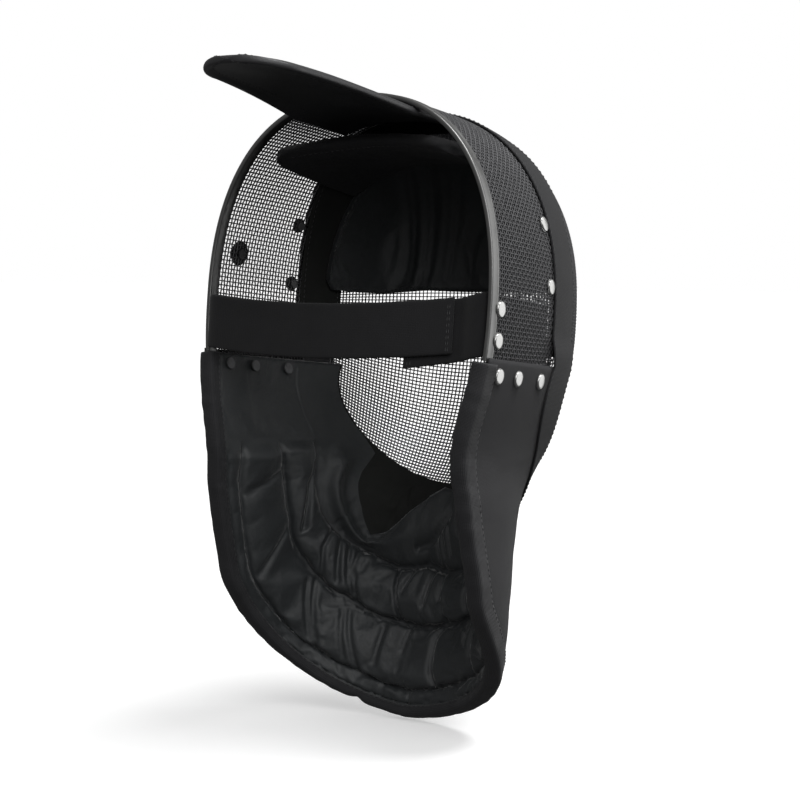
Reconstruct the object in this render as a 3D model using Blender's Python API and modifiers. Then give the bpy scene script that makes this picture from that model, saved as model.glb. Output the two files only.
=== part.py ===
# Fencing mask with a padded bib, seen from inside: a wire mesh cage in a folded steel rim,
# a cloth band over the seam between the rear and the face mesh, a spring tongue,
# a crown pad, a forehead lining, a rear strap with its tab, and a bib of two layers.
#
# Everything is laid out in the mask's own frame: -Y is where the wearer looks, +X is the
# wearer's left, the rim lies in the plane y = 0 and z = 0 is the height of the bib's top edge.
# An empty then tips the mask nose down and puts the head seat at the world's origin.

import math
from itertools import pairwise

import bmesh
import bpy
from mathutils import Matrix, Vector

mm = 0.001
deg = math.pi / 180

# Hang of the mask
nod_angle = 6.3 * deg
clearance = 0.3 * mm

# Cage: the middle surface of the wire mesh
cage_half_width = 115.5 * mm
eye_line_height = 35 * mm
crown_height = 140 * mm
jaw_drop = 166 * mm
nose_depth = 210 * mm
side_taper = 0.05
crown_roundness = 2.38
jaw_roundness = 2.2
plan_roundness = 3.1
brow_roundness = 3.3
chin_roundness = 2.4
mesh_thickness = 1.6 * mm
cage_low_angle = -15 * deg

# Rim: a folded steel channel around the rear edge of the mesh
rim_leg = 8.5 * mm
rim_sheet = 0.6 * mm
rim_low_angle = -10.5 * deg

# Cover band over the seam of the two meshes
band_setback_side = 95 * mm
band_setback_top = 76 * mm
band_width = 39 * mm
band_cloth = 1.5 * mm
band_low_angle = -8.5 * deg

# Face window: its sill is a half ellipse in front view, below the bib's top edge
sill_drop = 88 * mm
sill_lap = 1 * mm

# Bib
bib_top_height = -1.5 * mm
bib_length = 246 * mm
bib_side_length = 155 * mm
hem_corner_roundness = 1.86
shell_lap = 3.5 * mm
bib_cloth = 1.6 * mm
bib_stand_off = 3.0 * mm
lining_pad = 4.5 * mm
lining_stand_in = 4.4 * mm
channel_relief = 2.2 * mm
seam_height = -55 * mm
bag_start_height = -25 * mm
bag_full_height = -95 * mm
hem_tape_thickness = 3.4 * mm
hem_tape_gap = 0.8 * mm

# Tongue
tongue_root_depth = 62 * mm
tongue_reach = 145 * mm
tongue_root_half_width = 50 * mm
tongue_tip_half_width = 37 * mm
tongue_tip_round = 46 * mm
tongue_thickness = 5 * mm
tongue_gap = 1.1 * mm
tongue_droop = 0.5 * mm
tongue_bow = 3 * mm

# Crown pad
pad_thickness = 8 * mm
pad_edge_thickness = 3 * mm
pad_height = 149 * mm
pad_end_height = 138 * mm
pad_end_fall = 0.12
pad_tip_setback = 2 * mm
pad_bow = 26 * mm
pad_front_setback = 118 * mm
pad_wall_gap = 3.4 * mm

# Forehead lining
lining_low_height = 61 * mm
forehead_pad = 5 * mm
forehead_stand_in = 5 * mm
forehead_top_gap = 3 * mm
fold_depth = 2.2 * mm
fold_places = (-0.52, -0.22, 0.08, 0.38)
fold_width = 0.07

# Rear strap and its tab
strap_width = 37 * mm
strap_thickness = 2.4 * mm
strap_height = 18.5 * mm
strap_sag = 3 * mm
strap_rise = 5 * mm
strap_stand_in = 3.4 * mm
strap_end_depth = 90 * mm
strap_wall_shares = (1, 0.7, 0.42, 0.289, 0.1445)
strap_bow = 9 * mm
strap_lap_end = 0.77
tab_lap_start = 0.47
tab_drop = 10 * mm

# Rivets and button
rivet_head_radius = 5.5 * mm
rivet_head_height = 1.9 * mm
rivet_shank_radius = 2 * mm
rivet_tail_radius = 4.1 * mm
rivet_tail_height = 1.2 * mm
button_radius = 9.3 * mm
button_height = 3.2 * mm
bib_rivet_depths = (16 * mm, 43 * mm, 78 * mm)
bib_rivet_drop = 7.5 * mm
mesh_rivet_heights = (97 * mm, 55 * mm)
mesh_rivet_inset = 6.5 * mm
strap_rivet_depth = 11.5 * mm
strap_rivet_spread = 10.2 * mm
button_depth = 29 * mm
button_height_on_cage = 71 * mm

# Bib below the cage, one row for each level: how far down the bib's length it lies,
# half width as a share of the cage's half width, rear edge and front depth as shares of
# the nose depth, and the roundness of the plan
bag_columns = ("drop", "half_width", "rear", "depth", "roundness")
bag_rows = (
    (0.00, 1.000, -0.004, 0.985, 2.40),
    (0.20, 0.930, 0.008, 0.905, 2.20),
    (0.38, 0.900, -0.030, 0.715, 2.00),
    (0.60, 0.905, -0.118, 0.635, 1.90),
    (0.80, 0.865, -0.205, 0.590, 1.75),
    (1.00, 0.730, -0.290, 0.540, 1.65),
)

# Quilting of the bib's lining: where each seam lies between hem and window sill
quilt_seams = (0.12, 0.40, 0.62)


def clean_scene():
    for old in list(bpy.data.objects):
        bpy.data.objects.remove(old, do_unlink=True)


def signed_power(value, power):
    return math.copysign(abs(value) ** power, value)


def ease(value, start, end):
    share = min(1.0, max(0.0, (value - start) / (end - start)))
    return share * share * (3 - 2 * share)


def steps(start, end, count):
    return [start + (end - start) * i / count for i in range(count + 1)]


# Surfaces


def depth_shares(y):
    """How much of its width, crown height and jaw drop the cage keeps at depth y."""
    share = min(1.0, max(0.0, -y / nose_depth))
    wide = (1 - share**plan_roundness) ** (1 / plan_roundness)
    high = (1 - share**brow_roundness) ** (1 / brow_roundness)
    low = (1 - share**chin_roundness) ** (1 / chin_roundness)
    return wide, high, low


def cage_point(angle, y):
    """A point of the cage: angle 0 is the left side at the eye line, 90 degrees the crown."""
    wide, high, low = depth_shares(y)
    width = (cage_half_width + side_taper * min(y, 0.0)) * wide
    upper = math.sin(angle) >= 0
    tall = crown_height * high if upper else jaw_drop * low
    power = 2 / (crown_roundness if upper else jaw_roundness)
    x = width * signed_power(math.cos(angle), power)
    z = eye_line_height + tall * signed_power(math.sin(angle), power)
    return Vector((x, y, z))


def cage_half(y, z):
    """Half width of the cage at depth y and height z, zero outside it."""
    wide, high, low = depth_shares(y)
    width = (cage_half_width + side_taper * min(y, 0.0)) * wide
    upper = z >= eye_line_height
    tall = crown_height * high if upper else jaw_drop * low
    roundness = crown_roundness if upper else jaw_roundness
    share = abs(z - eye_line_height) / max(tall, 1e-9)
    return width * (1 - share**roundness) ** (1 / roundness) if share < 1 else 0.0


def front_depth(x, z):
    """Depth at which the cage's front lies at x and z, found by halving."""
    near, far = 0.0, -nose_depth
    for _ in range(40):
        middle = (near + far) / 2
        if cage_half(middle, z) > abs(x):
            near = middle
        else:
            far = middle
    return near


def angle_at(y, z):
    """Angle of the cage's point at depth y and height z."""
    _, high, low = depth_shares(y)
    upper = z >= eye_line_height
    tall = crown_height * high if upper else jaw_drop * low
    roundness = crown_roundness if upper else jaw_roundness
    share = min(1.0, abs(z - eye_line_height) / tall)
    return math.copysign(math.asin(share ** (roundness / 2)), z - eye_line_height)


def bag_level(z):
    """The bib's plan at height z, read smoothly between the rows of the table."""
    drop = min(1.0, max(0.0, (bib_top_height - z) / bib_length))
    last = len(bag_rows) - 1
    i = next(i for i in range(last) if drop <= bag_rows[i + 1][0] or i == last - 1)
    rows = [bag_rows[min(last, max(0, i + step))] for step in (-1, 0, 1, 2)]
    span = rows[2][0] - rows[1][0]
    t = (drop - rows[1][0]) / span
    values = []
    for before, start, end, after in zip(*rows):
        leave = (end - before) * span / (rows[2][0] - rows[0][0])
        arrive = (after - start) * span / (rows[3][0] - rows[1][0])
        values.append(
            start * (2 * t**3 - 3 * t**2 + 1) + leave * (t**3 - 2 * t**2 + t)
            + end * (3 * t**2 - 2 * t**3) + arrive * (t**3 - t**2)
        )
    return dict(zip(bag_columns, values))


def bib_point(angle, z):
    """A point of the bib's middle surface: angle 0 is the left rear edge, 90 degrees the front."""
    level = bag_level(z)
    rear = level["rear"] * nose_depth
    along = signed_power(math.sin(angle), 2 / bag_rows[0][4])
    depth = level["depth"] * nose_depth
    bag = Vector((
        level["half_width"] * cage_half_width * abs(math.cos(angle)) ** (2 / level["roundness"]),
        rear - (depth + rear) * along,
        z,
    ))
    if z > bag_full_height:
        reach = front_depth(0, z)
        y = rear + (reach - rear) * along
        wall = Vector((cage_half(y, z), y, z))
        blend = ease(-z, -bag_start_height, -bag_full_height)
        bag = wall.lerp(bag, blend)
    bag.x = math.copysign(bag.x, math.cos(angle))
    return bag


def lifted(surface, u, v, distance, step=0.0004):
    """The surface's point moved out of the mask along its normal."""
    here = surface(u, v)
    along_u = surface(u + step, v) - surface(u - step, v)
    along_v = surface(u, v + step) - surface(u, v - step)
    normal = along_u.cross(along_v)
    if normal.length < 1e-12:
        return here
    normal.normalize()
    inside = Vector((0, -nose_depth * 0.3, min(here.z, eye_line_height)))
    if normal.dot(here - inside) < 0:
        normal.negate()
    return here + normal * distance


def on_cage(angle, y, distance):
    return lifted(cage_point, angle, y, distance)


def cage_normal(angle, y):
    return (on_cage(angle, y, mm) - on_cage(angle, y, 0)).normalized()


# Building blocks


def grid_mesh(name, rows):
    """An open mesh through rows of points, all of the same length."""
    shape = bmesh.new()
    table = [[shape.verts.new(point) for point in row] for row in rows]
    for low, high in pairwise(table):
        for i in range(len(low) - 1):
            shape.faces.new((low[i], low[i + 1], high[i + 1], high[i]))
    mesh = bpy.data.meshes.new(name)
    shape.to_mesh(mesh)
    shape.free()
    return mesh


def lofted_mesh(name, rows, closed=False):
    """A body through ring sections, capped at both ends unless it closes on itself."""
    shape = bmesh.new()
    table = [[shape.verts.new(point) for point in row] for row in rows]
    pairs = list(pairwise(table))
    if closed:
        pairs.append((table[-1], table[0]))
    count = len(table[0])
    for low, high in pairs:
        for i in range(count):
            j = (i + 1) % count
            shape.faces.new((low[i], low[j], high[j], high[i]))
    if not closed:
        shape.faces.new(table[0])
        shape.faces.new(table[-1])
    bmesh.ops.recalc_face_normals(shape, faces=shape.faces)
    mesh = bpy.data.meshes.new(name)
    shape.to_mesh(mesh)
    shape.free()
    return mesh


def pad_mesh(name, outer, inner, open_side=False):
    """A closed pad between two skins of the same grid, open at its first column if asked."""
    shape = bmesh.new()
    skins = [[[shape.verts.new(p) for p in row] for row in skin] for skin in (outer, inner)]
    for skin in skins:
        for low, high in pairwise(skin):
            for i in range(len(low) - 1):
                shape.faces.new((low[i], low[i + 1], high[i + 1], high[i]))
    edges = []
    for skin in skins:
        edges.append([skin[0], skin[-1], [r[-1] for r in skin], [r[0] for r in skin]])
    for number, (a, b) in enumerate(zip(*edges)):
        if open_side and number == 3:
            continue
        for i in range(len(a) - 1):
            shape.faces.new((a[i], a[i + 1], b[i + 1], b[i]))
    bmesh.ops.recalc_face_normals(shape, faces=shape.faces)
    mesh = bpy.data.meshes.new(name)
    shape.to_mesh(mesh)
    shape.free()
    return mesh


def add_part(name, mesh, material, smooth=True):
    part = bpy.data.objects.new(name, mesh)
    parts.objects.link(part)
    part.parent = hanger
    if not mesh.materials:
        mesh.materials.append(material)
    if smooth:
        mesh.shade_smooth()
        mesh.set_sharp_from_angle(angle=40 * deg)
    return part


def mirror(part):
    modifier = part.modifiers.new("Mirror", "MIRROR")
    modifier.use_axis = (True, False, False)
    modifier.use_clip = True
    modifier.merge_threshold = 0.00002


def solidify(part, thickness):
    modifier = part.modifiers.new("Solidify", "SOLIDIFY")
    modifier.thickness = thickness
    modifier.offset = 0
    modifier.use_even_offset = True


def cut(part, cutter):
    modifier = part.modifiers.new("Holes", "BOOLEAN")
    modifier.operation = "DIFFERENCE"
    modifier.solver = "EXACT"
    modifier.object = cutter


def hole_cutter(name, places, radius):
    """One round cutter for each place, all in one mesh; a place is a matrix."""
    shape = bmesh.new()
    for place in places:
        bmesh.ops.create_cone(
            shape, cap_ends=True, segments=8, radius1=radius, radius2=radius,
            depth=hole_cutter_length, matrix=place,
        )
    mesh = bpy.data.meshes.new(name)
    shape.to_mesh(mesh)
    shape.free()
    cutter = bpy.data.objects.new(name, mesh)
    cutters.objects.link(cutter)
    cutter.parent = hanger
    cutter.hide_render = True
    cutter.display_type = "WIRE"
    return cutter


def pose(origin, normal):
    """A matrix at the origin whose Z axis points along the normal."""
    turn = normal.to_track_quat("Z", "Y").to_matrix().to_4x4()
    return Matrix.Translation(origin) @ turn


def make_material(name, color, roughness, metallic=0.0):
    material = bpy.data.materials.new(name)
    material.use_nodes = True
    shader = material.node_tree.nodes["Principled BSDF"]
    shader.inputs["Base Color"].default_value = (*color, 1)
    shader.inputs["Roughness"].default_value = roughness
    shader.inputs["Metallic"].default_value = metallic
    material.diffuse_color = (*color, 1)
    return material


# Places shared by several pieces


def band_rear(angle):
    """Depth of the band's rear edge, which sits further back over the crown."""
    rise = max(0.0, math.sin(angle)) ** 1.5
    return -(band_setback_side + (band_setback_top - band_setback_side) * rise)


def band_front(angle):
    return band_rear(angle) - band_width


def mesh_joint(angle):
    return band_rear(angle) - band_width / 2


def sill_half_width():
    return cage_half(-(band_setback_side + band_width), bib_top_height)


def sill_point(turn):
    """A point of the window's sill on the cage: turn 0 is its left end, 90 degrees the chin."""
    x = sill_half_width() * math.cos(turn)
    z = bib_top_height - sill_drop * math.sin(turn)
    return Vector((x, front_depth(x, z), z))


def hem_place(share):
    """The bib's free edge from its left top to its middle, as an angle and a height."""
    side_share = bib_side_length / (bib_side_length + hem_arc_length)
    if share < side_share:
        return 0.0, bib_top_height - bib_side_length * share / side_share
    turn = (share - side_share) / (1 - side_share) * math.pi / 2
    low = bib_length - bib_side_length
    power = 2 / hem_corner_roundness
    height = bib_top_height - bib_side_length - low * math.sin(turn) ** power
    return math.pi / 2 * (1 - max(0.0, math.cos(turn)) ** power), height


def sill_turn(share):
    """How far along the sill the cross line from this place of the hem arrives."""
    _, height = hem_place(share)
    seam_share = seam_hem_share()
    seam_turn = math.asin((bib_top_height - seam_height) / sill_drop)
    if share <= seam_share:
        return math.asin(min(1.0, max(0.0, (bib_top_height - height) / sill_drop)))
    return seam_turn + (math.pi / 2 - seam_turn) * (share - seam_share) / (1 - seam_share)


def sill_place(point):
    """The angle and height at which the bib's own surface comes nearest to a point of the sill."""
    rear = bag_level(point.z)["rear"] * nose_depth
    reach = bib_point(math.pi / 2, point.z).y
    along = min(1.0, max(0.0, (point.y - rear) / (reach - rear)))
    return math.asin(along ** (bag_rows[0][4] / 2)), point.z


def seam_hem_share():
    side_share = bib_side_length / (bib_side_length + hem_arc_length)
    return side_share * (bib_top_height - seam_height) / bib_side_length


def bib_grid_point(share, across, distance, lap=0.0):
    """A point of the bib: share runs along the hem, across from the hem to the sill.

    A lap raises the top edge, and fades out down to the cross seam.
    """
    hem_angle, hem_height = hem_place(share)
    sill = sill_point(sill_turn(share))
    sill_angle, sill_height = sill_place(sill)
    angle = hem_angle + (sill_angle - hem_angle) * across
    height = hem_height + (sill_height - hem_height) * across
    height += lap * max(0.0, 1 - share / seam_hem_share())
    point = lifted(bib_point, angle, height, distance)
    # The layers close on the cage along the sill, wherever the bag itself would end
    seat_point = on_cage(angle_at(sill.y, sill.z), sill.y, distance)
    miss = seat_point - lifted(bib_point, sill_angle, sill_height, distance)
    point += miss * ease(across, 0.35, 1)
    if share >= 1:
        point.x = 0.0
    return point


def wall_place(depth, z):
    """Matrix on the left wall of the cage with Z pointing out."""
    angle = angle_at(-depth, z)
    return pose(on_cage(angle, -depth, 0), cage_normal(angle, -depth))


def mirrored(place):
    """The same place on the wearer's right."""
    origin = place.to_translation()
    normal = place.to_3x3() @ Vector((0, 0, 1))
    flip = Vector((-1, 1, 1))
    return pose(origin * flip, normal * flip)


def both_sides(places):
    return [*places, *(mirrored(place) for place in places)]


# Pieces


def build_rim():
    half = mesh_thickness / 2 + clearance
    full = half + rim_sheet
    soft = rim_sheet * 0.6
    profile = (
        (full, -soft), (full, -rim_leg), (half, -rim_leg), (half, -rim_sheet),
        (-half, -rim_sheet), (-half, -rim_leg), (-full, -rim_leg), (-full, -soft),
        (-full + soft, 0), (full - soft, 0),
    )
    sections = []
    left = [rim_low_angle, *arch_angles()]
    for angle in [*left, *(math.pi - a for a in reversed(left[:-1]))]:
        normal = cage_normal(angle, -rim_leg)
        sections.append([cage_point(angle, y) + normal * out for out, y in profile])
    return add_part("rim_frame", lofted_mesh("rim_frame", sections), steel)


def arch_angles():
    """Stations of the left half arch, shared by the rim, both meshes and both bands."""
    return [*steps(band_low_angle, 0, 2), *steps(0, math.pi / 2, 14)[1:]]


def band_depths(angle):
    """Stations across the band: its rear edge, the seam of the meshes, half way, its front edge."""
    joint = mesh_joint(angle)
    front = band_front(angle)
    return [band_rear(angle), joint, (joint + front) / 2, front]


def arch_rows(angles, depths_of, distance):
    """Half an arch of the cage, from its lower left end to the crown's middle line."""
    rows = []
    for angle in angles:
        row = []
        for y in depths_of(angle):
            point = on_cage(angle, y, distance)
            if angle > math.pi / 2 - 1e-6:
                point.x = 0.0
            row.append(point)
        rows.append(row)
    return rows


def rear_mesh_depths(angle):
    """Stations of the rear mesh: inside the rim's fold, its leg's edge, on to the seam."""
    band = band_rear(angle)
    return [
        -(rim_sheet + clearance), -rim_leg, *steps(-rim_leg, band, 3)[1:],
        mesh_joint(angle) + mesh_thickness,
    ]


def build_rear_mesh(cutter):
    rows = arch_rows([cage_low_angle, *arch_angles()], rear_mesh_depths, 0)
    part = add_part("rear_mesh", grid_mesh("rear_mesh", rows), wire)
    mirror(part)
    solidify(part, mesh_thickness)
    cut(part, cutter)
    return part


def face_edge(angle):
    """Depth of the face mesh's edge: at the seam above, just past the sill under the chin."""
    if angle >= cage_low_angle:
        return mesh_joint(angle) - mesh_thickness
    near, far = 0.0, -nose_depth
    for _ in range(40):
        middle = (near + far) / 2
        point = cage_point(angle, middle)
        wide = point.x / (sill_half_width() + sill_lap)
        low = (bib_top_height - point.z) / (sill_drop + sill_lap)
        if wide * wide + low * low > 1:
            near = middle
        else:
            far = middle
    return near


def build_face_mesh():
    rows = []
    nose = Vector((0, -nose_depth, eye_line_height))
    for angle in [*steps(-math.pi / 2, band_low_angle, 11)[:-1], *arch_angles()]:
        edge = face_edge(angle)
        second = min(edge - band_width / 4, band_front(angle) + band_width / 4)
        third = min(second - band_width / 4, band_front(angle))
        start = math.asin(-third / nose_depth)
        turns = steps(start, math.pi / 2 * 0.975, 5)
        row = []
        for y in (edge, second, *(-nose_depth * math.sin(turn) for turn in turns)):
            point = cage_point(angle, y)
            if abs(abs(angle) - math.pi / 2) < 1e-6:
                point.x = 0.0
            row.append(point)
        rows.append(row)
    part = add_part("face_mesh", fan_mesh("face_mesh", rows, nose), wire)
    mirror(part)
    solidify(part, mesh_thickness)
    return part


def fan_mesh(name, rows, tip):
    """An open grid whose last column runs into one tip."""
    shape = bmesh.new()
    table = [[shape.verts.new(point) for point in row] for row in rows]
    top = shape.verts.new(tip)
    for low, high in pairwise(table):
        for i in range(len(low) - 1):
            shape.faces.new((low[i], low[i + 1], high[i + 1], high[i]))
        shape.faces.new((low[-1], top, high[-1]))
    mesh = bpy.data.meshes.new(name)
    shape.to_mesh(mesh)
    shape.free()
    return mesh


def build_inner_band():
    distance = -(mesh_thickness / 2 + clearance + band_cloth / 2)
    rows = arch_rows(arch_angles(), band_depths, distance)
    part = add_part("cover_band_inner", grid_mesh("cover_band_inner", rows), black_cloth)
    mirror(part)
    solidify(part, band_cloth)
    return part


def build_outer_band():
    """The outer band runs over the crown and on around the face, over the bib's edge."""
    on_mesh = mesh_thickness / 2 + clearance + band_cloth / 2
    on_bib = bib_stand_off + bib_cloth / 2 + clearance + band_cloth / 2
    rows = []
    for share in reversed(lining_shares()):
        row = []
        for across in shell_columns(share)[-4:]:
            row.append(bib_grid_point(share, across, on_bib, shell_lap))
        rows.append(row)
    for angle in arch_angles():
        down = 1 - ease(angle, band_low_angle, band_low_angle / 3)
        row = []
        for y in band_depths(angle):
            point = on_cage(angle, y, on_mesh + (on_bib - on_mesh) * down)
            if angle > math.pi / 2 - 1e-6:
                point.x = 0.0
            row.append(point)
        rows.append(row)
    part = add_part("cover_band_outer", grid_mesh("cover_band_outer", rows), black_cloth)
    mirror(part)
    solidify(part, band_cloth)
    return part


def shell_columns(share):
    """Shares from hem to sill at one place of the hem, the last four under the outer band."""
    reach = bib_grid_point(share, 1, 0) - bib_grid_point(share, 0, 0)
    start = 1 - band_width / reach.length
    return [*steps(0, start, 4), *steps(start, 1, 3)[1:]]


def build_bib_shell(cutter):
    rows = []
    for share in lining_shares():
        row = []
        for across in shell_columns(share):
            row.append(bib_grid_point(share, across, bib_stand_off, shell_lap))
        rows.append(row)
    part = add_part("bib_shell", grid_mesh("bib_shell", rows), bib_fabric)
    mirror(part)
    solidify(part, bib_cloth)
    cut(part, cutter)
    return part


def quilt_columns():
    """Shares from hem to sill with a seam's bottom, and a crest between two seams."""
    edges = (0.0, *quilt_seams, 1.0)
    columns = []
    for low, high in pairwise(edges):
        columns += [low, low + (high - low) * 0.25, low + (high - low) * 0.75]
    return [*columns, 1.0]


def quilt_height(across):
    """Relief of the channels: nothing at a seam, full between two."""
    edges = (0.0, *quilt_seams, 1.0)
    for low, high in pairwise(edges):
        if across <= high:
            return math.sin(math.pi * (across - low) / (high - low))
    return 0.0


def build_bib_lining(cutter):
    outer, inner = [], []
    for share in lining_shares():
        relief = channel_relief * ease(share, seam_hem_share(), seam_hem_share() + 0.03)
        front, back = [], []
        for across in quilt_columns():
            back.append(bib_grid_point(share, across, -lining_stand_in + lining_pad / 2))
            thick = lining_pad / 2 + relief * quilt_height(across)
            front.append(bib_grid_point(share, across, -lining_stand_in - thick))
        outer.append(back)
        inner.append(front)
    # The half is open at the middle plane, where the last row lies
    outer = [list(column) for column in zip(*reversed(outer))]
    inner = [list(column) for column in zip(*reversed(inner))]
    mesh = pad_mesh("bib_lining", outer, inner, open_side=True)
    part = add_part("bib_lining", mesh, lining_satin)
    mirror(part)
    cut(part, cutter)
    return part


def lining_shares():
    seam = seam_hem_share()
    return [*steps(0, seam, 3), *steps(seam + 0.03, 1, 11)]


def build_hem_tape():
    """A flat rounded tape along the free edge, over the edges of both layers."""
    outer = bib_stand_off + bib_cloth / 2
    inner = lining_stand_in + lining_pad / 2
    half_width = (outer + inner) / 2
    middle = (outer - inner) / 2
    profile = [(1, 0), (0.9, 0.8), (0.5, 1), (-0.5, 1), (-0.9, 0.8), (-1, 0)]
    sections = []
    shares = lining_shares()
    for share in [*shares, *(2 - s for s in reversed(shares[:-1]))]:
        left = min(share, 2 - share)
        base = bib_grid_point(left, 0, middle)
        up = (bib_grid_point(left, 0, middle + mm) - base).normalized()
        before = bib_grid_point(max(0.0, left - 0.01), 0, middle)
        after = bib_grid_point(min(1.0, left + 0.01), 0, middle)
        run = after - before
        if share == 1:
            run = Vector((1, 0, 0))
        away = up.cross(run).normalized()
        if away.dot(base - bib_grid_point(left, 0.05, middle)) < 0:
            away.negate()
        ring = []
        for wide, thick in profile:
            reach = hem_tape_gap + hem_tape_thickness * thick
            point = base + up * (half_width * wide) + away * reach
            if share > 1:
                point.x = -point.x
            if share == 1:
                point.x = 0.0
            ring.append(point)
        sections.append(ring)
    return add_part("hem_tape", lofted_mesh("hem_tape", sections), black_cloth)


def arch_height(x, y):
    """Height of the cage's upper arch at x and depth y."""
    wide, high, _ = depth_shares(y)
    share = min(1.0, abs(x) / ((cage_half_width + side_taper * min(y, 0.0)) * wide))
    return eye_line_height + crown_height * high * (1 - share**crown_roundness) ** (1 / crown_roundness)


def tongue_half_width(y):
    straight = tongue_reach - tongue_tip_round
    share = min(1.0, max(0.0, y / straight))
    width = tongue_root_half_width + (tongue_tip_half_width - tongue_root_half_width) * share
    if y > straight:
        width *= math.sqrt(max(0.0, 1 - ((y - straight) / tongue_tip_round) ** 2))
    return width


def build_tongue():
    """The tongue follows the crown's arch across and runs straight out of the back."""
    under_mesh = mesh_thickness / 2 + clearance + rim_sheet + tongue_gap + tongue_thickness / 2
    straight = tongue_reach - tongue_tip_round
    stations = [*steps(-tongue_root_depth, straight, 7)]
    stations += [straight + tongue_tip_round * math.sin(t) for t in steps(0, 83 * deg, 5)[1:]]
    rows = []
    for y in stations:
        out = max(0.0, y) / tongue_reach
        rise = tongue_bow * 4 * out * (1 - out) - tongue_droop * out**2
        row = []
        for across in steps(-1, 1, 6):
            x = across * tongue_half_width(y)
            row.append(Vector((x, y, arch_height(x, min(y, 0.0)) - under_mesh + rise)))
        rows.append(row)
    part = add_part("tongue", grid_mesh("tongue", rows), vinyl)
    solidify(part, tongue_thickness)
    bevel = part.modifiers.new("Edge", "BEVEL")
    bevel.width = tongue_thickness * 0.3
    bevel.segments = 1
    bevel.limit_method = "ANGLE"
    bevel.angle_limit = 50 * deg
    return part


def pad_middle(across, along):
    """Middle of the crown pad: across from the middle line to the left end, along to the front."""
    rear = -(pad_tip_setback + pad_bow * (1 - across**2))
    y = rear + (-pad_front_setback - rear) * along
    end_height = pad_end_height + pad_end_fall * (y + pad_tip_setback)
    end_half = cage_half(y, end_height + pad_edge_thickness) - pad_wall_gap
    z = end_height + (pad_height - end_height) * (1 - across**2)
    return Vector((end_half * across, y, z))


def build_crown_pad():
    top, bottom = [], []
    for along in steps(0, 1, 6):
        high, low = [], []
        for across in steps(0, 1, 8):
            middle = pad_middle(across, along)
            border = min(1.0, (1 - across) * 4) * min(1.0, min(along, 1 - along) * 6 + 0.25)
            half = (pad_edge_thickness + (pad_thickness - pad_edge_thickness) * border) / 2
            high.append(middle + Vector((0, 0, half)))
            low.append(middle - Vector((0, 0, half)))
        top.append(high)
        bottom.append(low)
    mesh = pad_mesh("crown_pad", top, bottom, open_side=True)
    part = add_part("crown_pad", mesh, black_cloth)
    mirror(part)
    return part


def fold_relief(across):
    """Inward ridges of the lining's standing folds, across from -1 at the right to 1."""
    return fold_depth * sum(math.exp(-((across - p) / fold_width) ** 2) for p in fold_places)


def build_forehead_lining():
    """A padded sheet on the inside of the face mesh, from above the eyes up to the band."""
    low = lining_low_height
    front = -(band_setback_side + band_width + forehead_top_gap)
    half = cage_half(front, low) * 0.985
    columns = steps(-1, 1, 25)
    outer, inner = [], []
    for across in columns:
        low_x = half * across
        edge_angle = angle_at(front, low) + 0.03
        angle = math.pi / 2 + (edge_angle - math.pi / 2) * across
        top_y = band_front(angle) - forehead_top_gap
        top = cage_point(angle, top_y)
        back_column, front_column = [], []
        for share in steps(0, 1, 5):
            rise = math.sin(share * math.pi / 2)
            x = low_x + (top.x - low_x) * rise
            z = low + (top.z - low) * rise
            y = front_depth(x, z) if share < 1 else top_y
            place = angle_at(y, z)
            place = place if x >= 0 else math.pi - place
            fade = math.sin(math.pi * min(1.0, share + 0.15))
            thick = forehead_pad / 2 + fold_relief(across) * fade
            back_column.append(on_cage(place, y, -forehead_stand_in + forehead_pad / 2))
            front_column.append(on_cage(place, y, -forehead_stand_in - thick))
        outer.append(back_column)
        inner.append(front_column)
    mesh = pad_mesh("forehead_lining", outer, inner)
    return add_part("forehead_lining", mesh, lining_satin)


def wall_x(y):
    """Middle of an upright strap end beside the wall, kept clear at the strap's lower edge."""
    return cage_half(y, strap_height - strap_width / 2) - strap_stand_in


def strap_route(share):
    """Plan of the strap from its left end on the wall to its free end at the right."""
    turn = strap_bow * 0.9
    along_wall = [(wall_x(-strap_end_depth * k), -strap_end_depth * k) for k in strap_wall_shares]
    points = (
        *along_wall,
        (wall_x(0), -clearance),
        (wall_x(0) - turn * 0.35, turn * 0.62),
        (wall_x(0) - turn * 1.4, turn * 0.95),
        (wall_x(0) * 0.45, strap_bow * 1.05),
        (0.0, strap_bow),
        (-wall_x(0) * 0.4, strap_bow * 0.45),
        (-wall_x(0) * strap_lap_end, -strap_bow * 0.75),
    )
    return curve_through(points, share)


def curve_through(points, share):
    """A smooth curve through plan points, its share running from 0 to 1 along their distances."""
    lengths = [math.dist(a, b) for a, b in pairwise(points)]
    want = min(1.0, max(0.0, share)) * sum(lengths)
    for i, length in enumerate(lengths):
        if want <= length or i == len(lengths) - 1:
            break
        want -= length
    t = min(1.0, want / length)
    before = Vector(points[max(0, i - 1)])
    start, end = Vector(points[i]), Vector(points[i + 1])
    after = Vector(points[min(len(points) - 1, i + 2)])
    leave = (end - before).normalized() * length
    arrive = (after - start).normalized() * length
    return (
        start * (2 * t**3 - 3 * t**2 + 1) + leave * (t**3 - 2 * t**2 + t)
        + end * (3 * t**2 - 2 * t**3) + arrive * (t**3 - t**2)
    )


def ribbon_rows(route, height_of, width, count):
    rows = []
    for share in steps(0, 1, count):
        place = route(share)
        middle = height_of(place.x)
        rows.append([Vector((*place, middle + width * side)) for side in (-0.5, 0, 0.5)])
    return rows


def strap_middle(x):
    """The strap sags between its ends and rises to the wearer's right."""
    share = x / wall_x(0)
    return strap_height - strap_sag * (1 - share * share) + strap_rise * (1 - share) / 2


def tab_middle(x):
    """The tab slants down from the right wall to its free end."""
    share = (x / wall_x(0) + 1) / (1 - tab_lap_start)
    return strap_middle(-wall_x(0)) - tab_drop * share


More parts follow.
